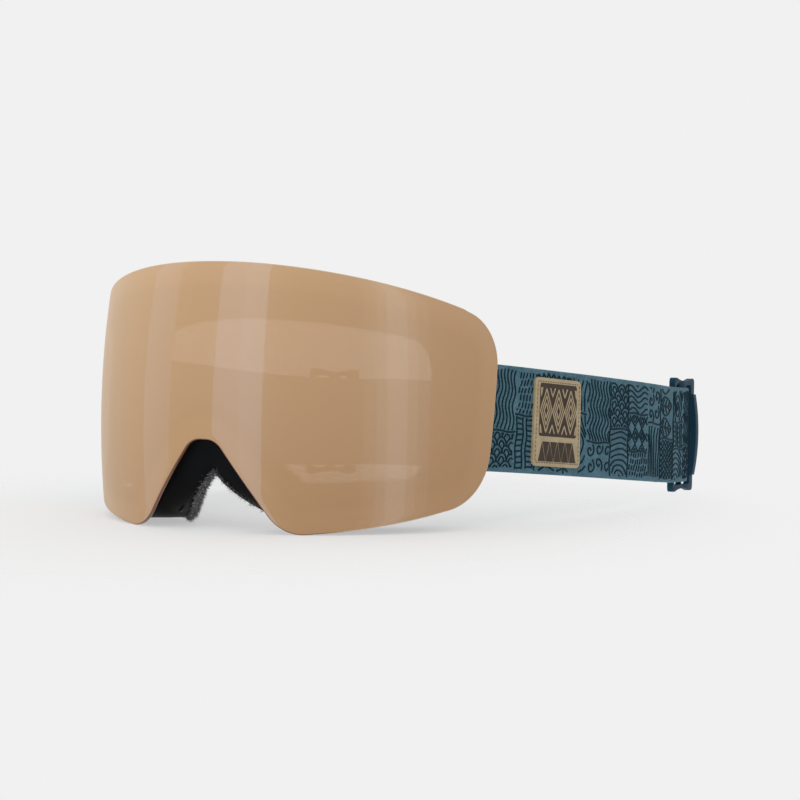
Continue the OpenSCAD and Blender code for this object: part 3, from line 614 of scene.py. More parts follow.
def rim_shade_and_highlight():
    """Painted shade and highlight on the rim: dark brown round the nose, where the edge lies in shade, and
    pale elsewhere, partly a painted highlight.
    """
    material, tree, shader = new_finish("lens_edge", Roughness=0.3)
    x, y, z = split(tree, own_place(tree))
    from_nose = vector(tree, "LENGTH", combine(tree, x, 0.0, z))
    # Dark brown near the nose is painted shade; the pale tan elsewhere is partly a painted highlight.
    feed(tree, shader, {"Base Color": blend_colour(
        tree, ramp(tree, from_nose, 0.045, 0.055), (0.17, 0.062, 0.032), (0.60, 0.40, 0.24))})
    return material


lens_face, lens_edge = tan_mirror(), rim_shade_and_highlight()
lens_inside = clear_sheet("lens_inside", (0.16, 0.09, 0.05), 0.06, 0.15)
inner_clear = clear_sheet("inner_clear", (0.20, 0.16, 0.12), 0.04, 0.1)


# %% Lens sheets
def lens_grid(inset, depth, rows, n):
    low, up = (drawn_in(both_sides(chain(LENS_LINE, n)), inset) for chain in (low_chain, up_chain))
    return [[(*(a + (b - a) * k / rows), depth) for a, b in zip(low, up)] for k in range(rows + 1)]


def lens_sheet(name, inset, depth, thick, soft, rows, n):
    steps = [(soft * (1 - math.sin(a)), soft * (1 - math.cos(a))) for a in
             (math.pi / 2 * i / 3 for i in range(4))]
    grids = [lens_grid(inset + i, depth + d, rows, n) for i, d in steps]
    grids += [lens_grid(inset + i, depth + thick - d, rows, n) for i, d in steps[::-1]]
    return bent(sheet_mesh(name, grids))


def mark_edge_distance(mesh):
    rim = sorted({v for face in mesh.polygons if face.material_index == 2 for v in face.vertices})
    near = kdtree.KDTree(len(rim))
    for i, v in enumerate(rim):
        near.insert(mesh.vertices[v].co, i)
    near.balance()
    far = [near.find(vertex.co)[2] for vertex in mesh.vertices]
    mesh.attributes.new("from_edge", "FLOAT", "POINT").data.foreach_set("value", far)


INNER_INSET, INNER_DEPTH, INNER_T = 9.2, 3.8, 0.9
outer = piece("lens_shell", lens_sheet("lens_shell", 0, 0, LENS_T, RIM_ROUND, 30, FINE),
              [lens_face, lens_inside, lens_edge], smooth=50)
mark_edge_distance(outer.data)
settle(outer, "lens_unit", "lens_tan", "outer_lens")
inner = piece("inner_shell", lens_sheet("inner_shell", INNER_INSET, INNER_DEPTH, INNER_T, 0.2, 12, PLAIN),
              [inner_clear] * 3, smooth=50)
settle(inner, "lens_unit", "lens_inner", "inner_lens")

# %% [markdown]
# ## Where the strap's hardware is
# The slider and the strap bar are placed by a few numbers: the slider's front edge, its turn and
# its slope, and the bar's middle and axis. The strap, the yokes and the sliders all use them, so
# they come first. A place on the slider is u back along it and w out from its middle.

# %% Strap hardware
STRAP_W, STRAP_T, WRAP = 41.5, 1.8, 2.65
SLIDER_T, SLIDER_L, SLIDER_HALF_H, TURN, SLOPE = 2.6, 33.6, 25, math.radians(9), math.radians(3.5)
FOOT_U, FOOT_SINK = 31.6, 0.2
MIDDLE_U, MIDDLE_BAR, REAR_U = 12.3, 5.5, 28.0
BAR = np.array(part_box("strap_bar_left")).mean(axis=0) / MM
slider_z = SLIDER_HALF_H * math.cos(SLOPE) + FOOT_U * math.sin(SLOPE) - FOOT_SINK
front_edge = np.array([93.0, 227.0 + SHIFT.y])
along = np.array([-math.sin(TURN), math.cos(TURN)])
outward = np.array([math.cos(TURN), math.sin(TURN)])
BAR_AXIS = unit(np.array([0.0240, 0.1364, 0.9904]))
LIE = SLIDER_T / 2 + STRAP_T / 2 + 0.05
PLY = STRAP_T + 0.25
LOW_BAR = -0.3
UNDER = LOW_BAR + STRAP_T / 2 + 0.05
OVER = UNDER + STRAP_T - 0.2


def across(h, lean):
    return unit(np.array([h[0] * math.sin(lean), h[1] * math.sin(lean), math.cos(lean)]))


def at_slider(u, w):
    p = front_edge + along * u + outward * w
    return np.array([p[0], p[1], slider_z - u * math.sin(SLOPE)]), across(along, SLOPE)


print("the slider's middle is", round(slider_z, 1), "mm up, the bar is at", BAR.round(1))

# %% [markdown]
# ## Moulded pieces taken from the construction
# The carrier, the frame, the outriggers and the sliders already have their true shape in the
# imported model, only with sharp edges and loose triangles. A merged copy of each gets a small
# moulded radius with a Bevel modifier, which catches the light as the real edge does. The frame,
# the outriggers and the sliders also change their shape a little where the photograph asks for it.


# %% Rounded copies
def rounded_copy(name, node, width, finish, body, slot, segments=2, shape=None):
    mesh = tidy(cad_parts[node].data.copy(), merge=2e-6, turn_out=False)
    if shape:
        shape(mesh)
    bench = new_object("bench", mesh)
    flat = bench.modifiers.new("flat", "DECIMATE")
    flat.decimate_type, flat.angle_limit = "DISSOLVE", math.radians(0.6)
    edge = bench.modifiers.new("edge", "BEVEL")
    edge.width, edge.segments, edge.limit_method = width * MM, segments, "ANGLE"
    edge.angle_limit, edge.harden_normals = math.radians(35), False
    settle(piece(name, evaluated(bench), [finish], smooth=32), body, slot, node)


EAR_BESIDE, EAR_DOWN, EAR_ANGLE = -0.8, 22.6, math.radians(30)


def trimmed_ears(hand):
    """Cuts the ears flat beside the strap bar, where the real yoke hides behind the lens."""
    def shape(mesh):
        bm = bmesh.new()
        bm.from_mesh(mesh)
        spot = Vector((hand * BAR[0], BAR[1], BAR[2])) * MM
        beside = Vector((hand * math.cos(EAR_ANGLE), math.sin(EAR_ANGLE), 0))
        down = Vector((hand * BAR_AXIS[0], BAR_AXIS[1], BAR_AXIS[2])) * -1
        for way, far in ((beside, EAR_BESIDE), (down, EAR_DOWN)):
            cut = bmesh.ops.bisect_plane(bm, geom=bm.verts[:] + bm.edges[:] + bm.faces[:], clear_outer=True,
                                         plane_co=spot + way * far * MM, plane_no=way)
            bmesh.ops.holes_fill(bm, edges=[e for e in cut["geom_cut"] if isinstance(e, bmesh.types.BMEdge)],
                                 sides=0)
        bm.to_mesh(mesh)
        bm.free()
    return shape


def lifted_lobes(mesh, lift=3.2, reach=54, height=22, soft=14):
    """Lifts the frame's two lower lobes beside the nose, where a smooth skin goes over them."""
    for vertex in mesh.vertices:
        x, y, z = vertex.co / MM
        beside, low = (min(1, max(0, share)) for share in ((reach - abs(x)) / soft, (height - z) / soft))
        vertex.co.z += lift * MM * beside * low


BAR_FROM_U, BAR_TO_U, BAR_HALF_H = 13.2, 20.3, 22.2


def closer_bar(hand, forward=1.7):
    """Moves the slider's middle bar forward and makes its outside lower, as photographed."""
    def shape(mesh):
        for vertex in mesh.vertices:
            x, y, z = vertex.co / MM
            offset = np.array([x * hand, y]) - front_edge
            u, w = float(offset @ along), float(offset @ outward)
            if BAR_FROM_U < u < BAR_TO_U and abs(z - slider_z + u * math.sin(SLOPE)) < BAR_HALF_H:
                step = (along * -forward + outward * (min(w, LOW_BAR) - w)) * MM
                vertex.co += Vector((hand * step[0], step[1], 0))
    return shape


rounded_copy("carrier_rim", "lens_carrier", 0.15, black_plastic, "lens_unit", "hard_plastic")
rounded_copy("frame_shell", "frame_body", 0.25, black_frame, "goggles", "frame_soft", shape=lifted_lobes)
for side, hand in (("left", 1), ("right", -1)):
    rounded_copy(f"outrigger_arm_{side}", f"outrigger_{side}", 0.4, black_plastic, "goggles", "hard_plastic",
                 shape=trimmed_ears(hand))
    rounded_copy(f"slider_plate_{side}", f"slider_{side}", 0.35, navy_plastic,
                 f"slider_{side[0]}", "slider_navy", segments=3, shape=closer_bar(hand))


# %% Strap bars
ROD_R, ROD_L = 1.5, 44.6


def rod(middle, axis, radius, length, chamfer=0.3, sides=24):
    """A turned rod with chamfered ends."""
    first = unit(np.cross(axis, [1.0, 0, 0]))
    second = np.cross(axis, first)
    inner = 1 - 2 * chamfer / length
    return tidy(loops_mesh("rod", [
        [middle + axis * far * length / 2 + r * (math.cos(a) * first + math.sin(a) * second)
         for a in (2 * math.pi * i / sides for i in range(sides))]
        for far, r in ((-1, radius - chamfer), (-inner, radius), (inner, radius), (1, radius - chamfer))]))


for side, hand in (("left", 1), ("right", -1)):
    turn_x = np.array([hand, 1, 1])
    bar = piece(f"strap_rod_{side}", rod(BAR * turn_x, BAR_AXIS * turn_x, ROD_R, ROD_L), [plated_steel])
    settle(bar, "goggles", "steel", f"strap_bar_{side}")

# %% [markdown]
# ## Foam against the face
# Three layers are glued in a stack: firm foam on the frame, soft foam in the middle and brushed
# fleece on the skin. Each layer swells between its glue lines, so its sides are drawn as half
# waves and not as flat walls. All of them are drawn in lens space and go through the same bend.

# %% Foam layers
FOAM_BACK, FLEECE, CORE, BASE, GLUE = 36.0, 3.0, 7.0, 4.0, 0.2
TEMPLE_S, TEMPLE_FALL, NOSE_S, NOSE_FALL = 122.0, 12.5, 25.0, 29.0
TEMPLE_THINNER, NOSE_THINNER, WRAP_S, WRAP_THICKER = 0.4, 0.85, 32.0, 0.9
FLEECE_OVERLAP = 1.2


def foam_place(p, back):
    """Lens space for a point of the foam: shallower and thinner at the nose and the temples."""
    temple = (p[0] / TEMPLE_S) ** 2
    nose = (1 - p[1] / LENS_H) / (1 + (p[0] / NOSE_S) ** 2)
    depth = FOAM_BACK - TEMPLE_FALL * temple - NOSE_FALL * nose
    return (p[0], p[1], depth - back * (1 - TEMPLE_THINNER * temple - NOSE_THINNER * nose))


def fleece_place(p, back):
    """The fleece keeps its thickness at the nose, where it wraps round the edge of the foam."""
    s, v, depth = foam_place(p, 0)
    wrap, temple = math.exp(-(s / WRAP_S) ** 2), (s / TEMPLE_S) ** 2
    return (s, v, depth - back * (1 + WRAP_THICKER * wrap - TEMPLE_THINNER * temple))


def foam_layer(name, near, thick, edge, pinch, finish, slot, node, steps=6):
    sags = [edge + pinch * (1 - math.sin(math.pi * k / steps)) for k in range(steps + 1)]
    loops = []
    for line, side, inset in ((FLEECE_LINE, 1, FLEECE_OVERLAP), (EYE_LINE, -1, 0)):
        for k, sag in enumerate(sags):
            back = near + thick * (1 - k / steps if side > 0 else k / steps)
            loops.append([foam_place(p, back) for p in closed_line(line, inset + side * sag, PLAIN)])
    settle_foam(piece(name, bent(loops_mesh(name, loops, ring=True)), [finish], smooth=60), slot, node)


foam_layer("firm_foam", FLEECE + CORE + 2 * GLUE, BASE, 0.3, 0.5, base_foam, "foam_dark", "foam_base")
foam_layer("soft_foam", FLEECE + GLUE, CORE, 0.5, 0.8, core_foam, "foam_grey", "foam_core")


# %% Vent foam
SOFT_WIDE, SOFT_DEEP = 0.35, 0.25


def vent_strip(name, chain, low_s, high_s, node, inner=3.8, wide=1.8, near=7.0, deep=7.0):
    """A bar with softly rounded corners along a part of the lens's outline."""
    angles = [2 * math.pi * i / 16 for i in range(16)]
    corners = [[math.copysign(abs(c) ** soft, c) / 2 + 0.5 for c, soft in
                ((math.cos(a), SOFT_WIDE), (math.sin(a), SOFT_DEEP))] for a in angles]
    sections = [[(*(p + n * (inner + wide * x)), near + deep * y) for x, y in corners]
                for p, n in chain if low_s <= p[0] <= high_s]
    settle_foam(piece(name, bent(loops_mesh(name, sections)), [vent_foam], smooth=60), "foam_dark", node)


top, low = up_chain(LENS_LINE, PLAIN), low_chain(LENS_LINE, PLAIN)
vent_strip("brow_vent_foam", both_sides(top), -90, 90, "vent_foam_top")
vent_strip("low_vent_foam_left", low, 51.5, 90.5, "vent_foam_low_left")
vent_strip("low_vent_foam_right", both_sides(low), -90.5, -51.5, "vent_foam_low_right")

# %% [markdown]
# ## Fleece
# The layer on the skin is brushed: a rounded pad covered in short soft fibres that show as a grey
# fringe against the light. The fibres' colour has random grey streaks on near black, which are
# painted highlights. The fibres are scattered by Geometry Nodes with a fixed seed. Each is a thin
# three-sided spike, because a finer one would cost far more triangles that nobody sees.


# %% Fleece pad and fibres
def dress(tree, shape, finish, result):
    """Makes the instances real, gives them their material and hands them out."""
    real = put(tree, "GeometryNodeRealizeInstances", {0: shape}).outputs[0]
    dressed = put(tree, "GeometryNodeSetMaterial", {"Geometry": real, "Material": finish}).outputs[0]
    feed(tree, result, {0: dressed})


def fibre_tree():
    tree, given, result = new_group("brushed_fibres", {
        "Pad": SHAPE, "Fibre": THING, "Per square metre": 2.0e6, "Shortest": 0.5, "Longest": 1.0,
        "Lean": 0.7, "Seed": 3, "Finish": FINISH}, {"Fibres": SHAPE})
    seed = given["Seed"]
    spots = put(tree, "GeometryNodeDistributePointsOnFaces", {
        "Mesh": given["Pad"], "Density": given["Per square metre"], "Seed": seed}).outputs
    most = combine(tree, given["Lean"], given["Lean"], 3.14)
    tilt = put(tree, "FunctionNodeRandomValue", {0: vector(tree, "SCALE", most, -1.0), 1: most, "Seed": seed},
               data_type="FLOAT_VECTOR").outputs[0]
    turned = put(tree, "FunctionNodeRotateRotation", {"Rotation": spots["Rotation"], "Rotate By": tilt},
                 rotation_space="LOCAL").outputs[0]
    size = put(tree, "FunctionNodeRandomValue", {2: given["Shortest"], 3: given["Longest"], "Seed": seed})
    spike = put(tree, "GeometryNodeObjectInfo", {"Object": given["Fibre"]}).outputs["Geometry"]
    fibres = put(tree, "GeometryNodeInstanceOnPoints", {
        "Points": spots["Points"], "Instance": spike, "Rotation": turned, "Scale": size.outputs[1]})
    dress(tree, fibres.outputs[0], given["Finish"], result)
    return tree


fleece_nap = foamy("fleece_nap", (0.05, 0.05, 0.053), (0.008, 0.008, 0.009), 2600.0, 0.8)
fleece_fibre, tree, shader = new_finish("fleece_fibre", Roughness=0.9, Sheen_Weight=0.6, Sheen_Roughness=0.4)
# Painted highlight: random grey streaks on the near-black fibres stand for the light they catch, beside the
# real sheen.
tone = ramp(tree, noise(tree, own_place(tree), 1500.0), 0.42, 0.62)
feed(tree, shader, {"Base Color": blend_colour(tree, tone, (0.012, 0.012, 0.013), (0.34, 0.34, 0.345))})

PAD_SPREAD, PAD_ROUND = 0.3, 2.6
quarter = [math.pi / 2 * i / 6 for i in range(7)]
pad_loops = [[fleece_place(p, FLEECE * (1 - math.sin(a)))
              for p in closed_line(line, side * (-PAD_SPREAD + PAD_ROUND * (1 - math.cos(a))), PLAIN)]
             for line, side in ((FLEECE_LINE, 1), (EYE_LINE, -1)) for a in quarter[::side]]
pad_mesh = bent(loops_mesh("fleece_pad", pad_loops, ring=True))
spike = new_object("spike", mesh_of("spike", [
    (0.12, 0, 0), (-0.06, 0.104, 0), (-0.06, -0.104, 0), (0.35, 0, 1.5)],
    [(0, 1, 3), (1, 2, 3), (2, 0, 3), (2, 1, 0)]))
fringe_mesh = through(fibre_tree(), pad_mesh.copy(), {
    "Fibre": spike, "Per square metre": 2.6e6, "Shortest": 0.4, "Longest": 1.3, "Lean": 0.9, "Seed": 3,
    "Finish": fleece_fibre})
bpy.data.objects.remove(spike)
settle_foam(piece("fleece_pad", pad_mesh, [fleece_nap], smooth=60), "fleece", "fleece_face")
settle(piece("fleece_fringe", fringe_mesh, [fleece_fibre]), "goggles", "fleece")

# %% [markdown]
# ## Skin over the nose
# Over the nose the frame runs on as a thin smooth skin, from behind the lens down to the fleece,
# so no layer of foam shows there. It is a sheet between two curves: the lens's outline, drawn in,
# and the fleece's. A short table gives its profile from front to back, and past the lobes it
# sinks into the frame.

# %% Nose skin
SKIN_PROFILE = ((0, 0), (0.14, 0.12), (0.36, 0.30), (0.62, 0.52), (0.82, 0.74), (0.94, 0.95),
                (0.99, 1.25), (1, 1.6), (1, 2.0))
SKIN_FRONT, FADE_POINTS = 4.65, 10
LENS_INSET, FLEECE_INSET, LENS_SINK, FLEECE_SINK = 2.7, 0.7, 4.5, 1.6
LEAST_WALL, WALL_BEFORE_FOAM, LEAST_STEP, SKIN_END = 5.6, 16.4, 0.4, 4.9


def skin_grid(extra, back_extra):
    """One face of the skin, drawn in a little more than the one before it."""
    front, back = low_chain(LENS_LINE, FINE), low_chain(FLEECE_LINE, FINE)
    count = 2 + FINE["nose"] + FINE["leg"] + FINE["lobe"] + 1 + FADE_POINTS
    columns = []
    for i in range(count):
        fade = max(0.0, (i - (count - FADE_POINTS - 1)) / FADE_POINTS) ** 2
        f = front[i][0] + front[i][1] * (LENS_INSET + extra + LENS_SINK * fade)
        b = back[i][0] + back[i][1] * (FLEECE_INSET + back_extra + FLEECE_SINK * fade)
        end = foam_place(b, 0)[2]
        wall = max(LEAST_WALL, end - WALL_BEFORE_FOAM * (end - foam_place(b, 1.0)[2]))
        last = max(wall + LEAST_STEP, end - SKIN_END)
        columns.append([(*(f * (1 - e) + b * e),
                         SKIN_FRONT + (wall - SKIN_FRONT) * t if t <= 1 else wall + (last - wall) * (t - 1))
                        for e, t in SKIN_PROFILE])
    return [[(-x, y, z) for x, y, z in column] for column in columns[:0:-1]] + columns


skin_mesh = bent(sheet_mesh("nose_skin", [skin_grid(*e) for e in ((0, 0), (0.35, 0.12), (0.7, 0.5))]))
settle(piece("nose_skin", skin_mesh, [black_frame], smooth=70), "goggles", "frame_soft")

# %% [markdown]
# ## The path of the strap
# The strap is one ribbon on each side. Its sewn end goes round the slider's middle bar, the inner
# layer runs forward to the steel bar beside the frame, and the outer layer comes back and dives
# through the slider's rear slot. The path repeats the construction's stations: a place, and the
# direction across the width. Cutting its corners twice makes the turns smooth.

# %% Strap path
RUN_N, WRAP_N, PLY_GAP, RUN_END_U, LEAVE_TURN = 18, 6, 0.6, -8, math.radians(8)
OPEN_PART, CLOSE_PART, TWIST_PART = 0.2, 0.15, 0.25
run_a = BAR[:2] + [WRAP, 0]
run_d = front_edge + along * RUN_END_U + outward * LIE
run_reach = (front_edge[1] - BAR[1]) / 3
run_b = run_a + np.array([math.sin(LEAVE_TURN), math.cos(LEAVE_TURN)]) * run_reach
run_c = run_d - along * run_reach


def run_at(t, inside=False):
    """A station of the run between the bar and the slider, on the outer or the inner layer."""
    point = lambda k: (run_a * (1 - k) ** 3 + run_b * 3 * k * (1 - k) ** 2
                       + run_c * 3 * k * k * (1 - k) + run_d * k ** 3)
    h = unit(point(min(t + 0.01, 1)) - point(max(t - 0.01, 0)))
    gap = (PLY + PLY_GAP + (2 * WRAP - PLY - PLY_GAP) * max(0, 1 - t / OPEN_PART) ** 2
           + (2 * LIE - PLY_GAP) * max(0, (t - 1 + CLOSE_PART) / CLOSE_PART) ** 2)
    p = point(t) - np.array([h[1], -h[0]]) * (gap if inside else 0)
    z = BAR[2] * (1 - t) + (slider_z - RUN_END_U * math.sin(SLOPE)) * t
    upright = min(1.0, t / TWIST_PART)
    return np.array([p[0], p[1], z]), unit(BAR_AXIS * (1 - upright) + across(along, SLOPE) * upright)


def side_path():
    """Sewn end, inner layer, steel bar, outer layer and rear slot of the left strap."""
    m = MIDDLE_U + MIDDLE_BAR
    fold, middle = (UNDER + LIE) / 2, (UNDER - LIE) / 2
    sewn_end = [(-7, -LIE), (2.6, -LIE), (5, -LIE + 0.3), (MIDDLE_U - 3, UNDER - 1.1),
                (MIDDLE_U - 0.6, UNDER), (m - 0.6, UNDER)]
    for i in range(1, WRAP_N):
        g = math.radians(90 - 180 * i / WRAP_N)
        sewn_end.append((m - 0.6 + fold * math.cos(g), middle + fold * math.sin(g)))
    sewn_end += [(m - 0.6, -LIE), (MIDDLE_U, -LIE - 0.1), (MIDDLE_U - 4, -LIE - 1), (4.6, -LIE - PLY),
                 (-2, -LIE - PLY)]
    way_out = [(0, LIE), (2.6, LIE), (MIDDLE_U - 3, OVER), (MIDDLE_U - 0.4, OVER), (m - 1.4, OVER),
               (m + 1.0, OVER - 0.5), (m + 2.4, OVER - 2.6), (REAR_U - 4.4, -LIE + 0.6),
               (REAR_U - 0.6, -LIE), (SLIDER_L + 0.8, -LIE)]
    round_bar = [(BAR + WRAP * np.array([math.cos(g), math.sin(g), 0]), BAR_AXIS)
                 for g in (math.radians(180 + 180 * i / WRAP_N) for i in range(WRAP_N + 1))]
    return ([at_slider(*place) for place in sewn_end]
            + [run_at(i / RUN_N, inside=True) for i in range(RUN_N, 0, -1)] + round_bar
            + [run_at(i / RUN_N) for i in range(1, RUN_N + 1)] + [at_slider(*place) for place in way_out])


def back_path(turn_n=8, back_n=12, round_r=11, bow=math.radians(4)):
    """From the left slider round the corner, and then in a flat bow to the middle of the head."""
    start = at_slider(SLIDER_L + 1.1, -LIE)[0]
    centre = start[:2] - outward * round_r
    path = []
    for i in range(turn_n + 1):
        t = i / turn_n
        g = TURN * (1 - t) + (math.pi / 2 - bow) * t
        p = centre + round_r * np.array([math.cos(g), math.sin(g)])
        path.append((np.array([p[0], p[1], start[2] - 0.1 * t]),
                     across((-math.sin(g), math.cos(g)), SLOPE * (1 - t))))
    end = path[-1][0]
    for i in range(1, back_n + 1):
        x = end[0] * (1 - i / back_n)
        y = end[1] + end[0] * math.tan(bow) / 2 * (1 - (x / end[0]) ** 2)
        path.append((np.array([x, y, end[2]]), np.array([0, 0, 1.0])))
    return path


def soften(path, times=2):
    """Cuts each corner of the path at a quarter of its sides."""
    for _ in range(times):
        cut = [path[0]]
        for (p, c), (q, e) in zip(path, path[1:]):
            cut += [(p * a + q * (1 - a), unit(c * a + e * (1 - a))) for a in (0.75, 0.25)]
        path = cut + [path[-1]]
    return path


def flipped(path):
    turn_x = np.array([-1.0, 1, 1])
    return [(p * turn_x, c * turn_x) for p, c in path]


class Rail:
    """A strap's path with the distance along it, its direction across and its way out."""

    def __init__(self, path, hand):
        self.places = np.array([p for p, _ in path])
        self.across = np.array([c for _, c in path])
        steps = np.diff(self.places, axis=0)
        lengths = np.linalg.norm(steps, axis=1)
        self.far = np.concatenate([[0], np.cumsum(lengths)])
        self.length = float(self.far[-1])
        ways = steps / lengths[:, None]
        joint = np.concatenate([[ways[0]], ways[1:] + ways[:-1], [ways[-1]]])
        out = np.cross(joint, self.across) * hand
        self.out = out / np.linalg.norm(out, axis=1)[:, None]

    def nearest(self, place):
        return float(self.far[np.argmin(np.linalg.norm(self.places - place, axis=1))])

    def curve(self):
        mesh = mesh_of("rail", self.places, edges=[(i, i + 1) for i in range(len(self.places) - 1)])
        for label, rows in (("across", self.across), ("out", self.out)):
            mesh.attributes.new(label, "FLOAT_VECTOR", "POINT").data.foreach_set("vector", rows.ravel())
        return new_object("rail", mesh)


side_left = soften(side_path())
half_back = back_path()
whole_back = soften(half_back + flipped(half_back)[-2::-1])
rails = {"left": Rail(side_left, 1), "right": Rail(flipped(side_left), -1), "back": Rail(whole_back, 1)}
print("strap lengths in mm", {name: round(rail.length) for name, rail in rails.items()})

# %% [markdown]
# ## Laying flat work on the strap
# The webbing, its raised lines, the patch and its stitches are all drawn flat: u along the strap,
# v across it and w off its surface. One node tree samples the strap's path at u and carries each
# point there, so that flat work always lands on the cloth, also round the turns.


# %% The laying tree
def laying_tree():
    tree, given, result = new_group("lay_on_strap", {"Flat": SHAPE, "Path": THING}, {"Laid": SHAPE})
    path = put(tree, "GeometryNodeObjectInfo", {"Object": given["Path"]}).outputs["Geometry"]
    rail = put(tree, "GeometryNodeMeshToCurve", {0: path}).outputs[0]
    spot = put(tree, "GeometryNodeInputPosition").outputs[0]
    u, v, w = split(tree, spot)
    total = None
    for label, amount in (("across", v), ("out", w)):
        stored = put(tree, "GeometryNodeInputNamedAttribute", {"Name": label}, data_type="FLOAT_VECTOR")
        wires = {"Curves": rail, "Value": stored.outputs[0], "Length": u}
        sample = put(tree, "GeometryNodeSampleCurve", wires, data_type="FLOAT_VECTOR", mode="LENGTH").outputs
        arm = vector(tree, "SCALE", vector(tree, "NORMALIZE", sample["Value"]), amount)
        total = vector(tree, "ADD", sample["Position"] if total is None else total, arm)
    kept = put(tree, "GeometryNodeStoreNamedAttribute", {
        "Geometry": given["Flat"], "Name": "cloth", "Value": spot}, data_type="FLOAT_VECTOR", domain="POINT")
    laid = put(tree, "GeometryNodeSetPosition", {"Geometry": kept.outputs[0], "Position": total})
    feed(tree, result, {0: laid.outputs[0]})
    return tree


LAY = laying_tree()


def lay(mesh, rail):
    line = rail.curve()
    made = through(LAY, mesh, {"Path": line})
    bpy.data.objects.remove(line)
    return tidy(made)


# %% [markdown]
# ## Webbing
# The strap is knitted elastic, teal with darker threads, 1.8 mm thick, with a tight rounded
# selvage. Its colour and its ribs follow the cloth's own u and v, which the laying tree stored on
# the mesh as an attribute, because a pattern in room coordinates would not turn with the strap.
# Each piece keeps its place in room coordinates and rides on no body.


# %% Weave
def weave_group():
    tree, given, result = new_group("knitted_webbing", {
        "Cloth": VECTOR, "Rib": 0.9, "Depth": 0.4, "Thread": (0.05, 0.1, 0.13, 1),
        "Shade": (0.02, 0.05, 0.07, 1)}, {"Colour": COLOUR, "Normal": VECTOR}, kind="ShaderNodeTree")

    def do(operation, *values):
        return calc(tree, operation, *values)

    cloth = vector(tree, "SCALE", given["Cloth"], 1000.0)
    u, v, w = split(tree, cloth)
    beats = [do("SINE", do("DIVIDE", do("MULTIPLY", way, 6.2832), given["Rib"])) for way in (v, u)]
    knit = do("MULTIPLY", *beats)
    mottle = noise(tree, cloth, 1.3, Detail=4.0, Roughness=0.7)
    broad = noise(tree, cloth, 0.12, Detail=2.0)
    # The knit term makes the colour darker where the ribs sink: painted shade. The mottle and the broad noise
    # vary it at random, as heathered yarn does.
    tone = do("ADD", do("MULTIPLY", knit, 0.12),
              do("ADD", do("MULTIPLY", mottle, 1.5), do("MULTIPLY", broad, 0.5)))
    height = do("ADD", do("MULTIPLY", knit, 0.4), mottle)
    feed(tree, result, {
        "Colour": blend_colour(tree, ramp(tree, tone, 0.66, 1.32), given["Shade"], given["Thread"]),
        "Normal": relief(tree, height, given["Depth"], 0.0003)})
    return tree


WEAVE = weave_group()


def cloth_place(tree):
    return put(tree, "ShaderNodeAttribute", attribute_name="cloth").outputs["Vector"]


def woven(name, thread, shade, depth, rib=0.9):
    material, tree, shader = new_finish(name, Roughness=0.9, Sheen_Weight=0.08, Sheen_Roughness=0.4,
                                        Specular_IOR_Level=0.1)
    add_effect(tree, shader, WEAVE, {"Cloth": cloth_place(tree), "Rib": rib, "Depth": depth,
                                     "Thread": (*thread, 1), "Shade": (*shade, 1)})
    return material


teal_webbing = woven("teal_webbing", (0.135, 0.262, 0.330), (0.024, 0.082, 0.113), 0.7)
raised_yarn = woven("raised_yarn", (0.006, 0.032, 0.048), (0.002, 0.013, 0.022), 0.3, rib=0.5)


# %% Webbing pieces
SELVAGE_ROUND, WEB_STEP = 0.9, 1.5


def webbing_section():
    half_t = STRAP_T / 2
    flat = STRAP_W / 2 - half_t * SELVAGE_ROUND
    ring = []
    for sign in (1, -1):
        ring += [(sign * flat * (1 - 2 * i / 9), sign * half_t) for i in range(10)]
        ring += [(-sign * (flat + half_t * SELVAGE_ROUND * math.sin(a)), sign * half_t * math.cos(a))
                 for a in (math.pi * i / 6 for i in range(1, 6))]
    return ring


def flat_strip(name, start, end, section, steps):
    """A straight bar in strap coordinates with the same section from start to end."""
    return loops_mesh(name, [[(start + (end - start) * i / steps, v, w) for v, w in section]
                             for i in range(steps + 1)])


def ride_side(made, side, slot, *nodes):
    """Bakes a strap side's place into its mesh and prints its slot; it rides on no body."""
    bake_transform(made)
    book(made, slot, *nodes)


def ride_back(made, side, slot, *nodes):
    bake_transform(made)
    book(made, slot, *nodes)


back_length = rails["back"].length
half_length = back_length / 2
for side in ("left", "right"):
    long = rails[side].length
    strip = flat_strip("strip", 0, long, webbing_section(), round(long / WEB_STEP))
    made = piece(f"webbing_{side}", lay(strip, rails[side]), [teal_webbing], smooth=50)
    ride_side(made, side, "webbing", f"strap_{side}")
for side, start, end in (("left", 0.0, half_length), ("right", half_length, back_length)):
    strip = flat_strip("strip", start, end, webbing_section(), round((end - start) / WEB_STEP))
    made = piece(f"webbing_back_{side}", lay(strip, rails["back"]), [teal_webbing], smooth=50)
    ride_back(made, side, "webbing", "strap_back")


# %% Silicone lines
LINE_ROWS, LINE_RISE = (-11.0, 0.0, 11.0), ((-1.5, 0.05), (-1.3, -0.5), (1.3, -0.5), (1.5, 0.05))


def silicone_lines(start, end):
    """Three flat lines inside the strap's back, which bend with it."""
    return tidy(joined_mesh("lines", [
        flat_strip("line", start, end, [(row + v, w - STRAP_T / 2) for v, w in LINE_RISE], 40)
        for row in LINE_ROWS]))


grip_x, grip_y = (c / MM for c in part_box("strap_grip")[0][:2])
grip_from = rails["back"].nearest(np.array([-grip_x, grip_y, 24.5]))
for side, start, end in (("left", grip_from, half_length), ("right", half_length, back_length - grip_from)):
    made = piece(f"silicone_lines_{side}", lay(silicone_lines(start, end), rails["back"]), [grip_silicone],
                 smooth=30)
    ride_back(made, side, "silicone", "strap_grip")
print("silicone lines start", round(grip_from, 1), "mm along the back")

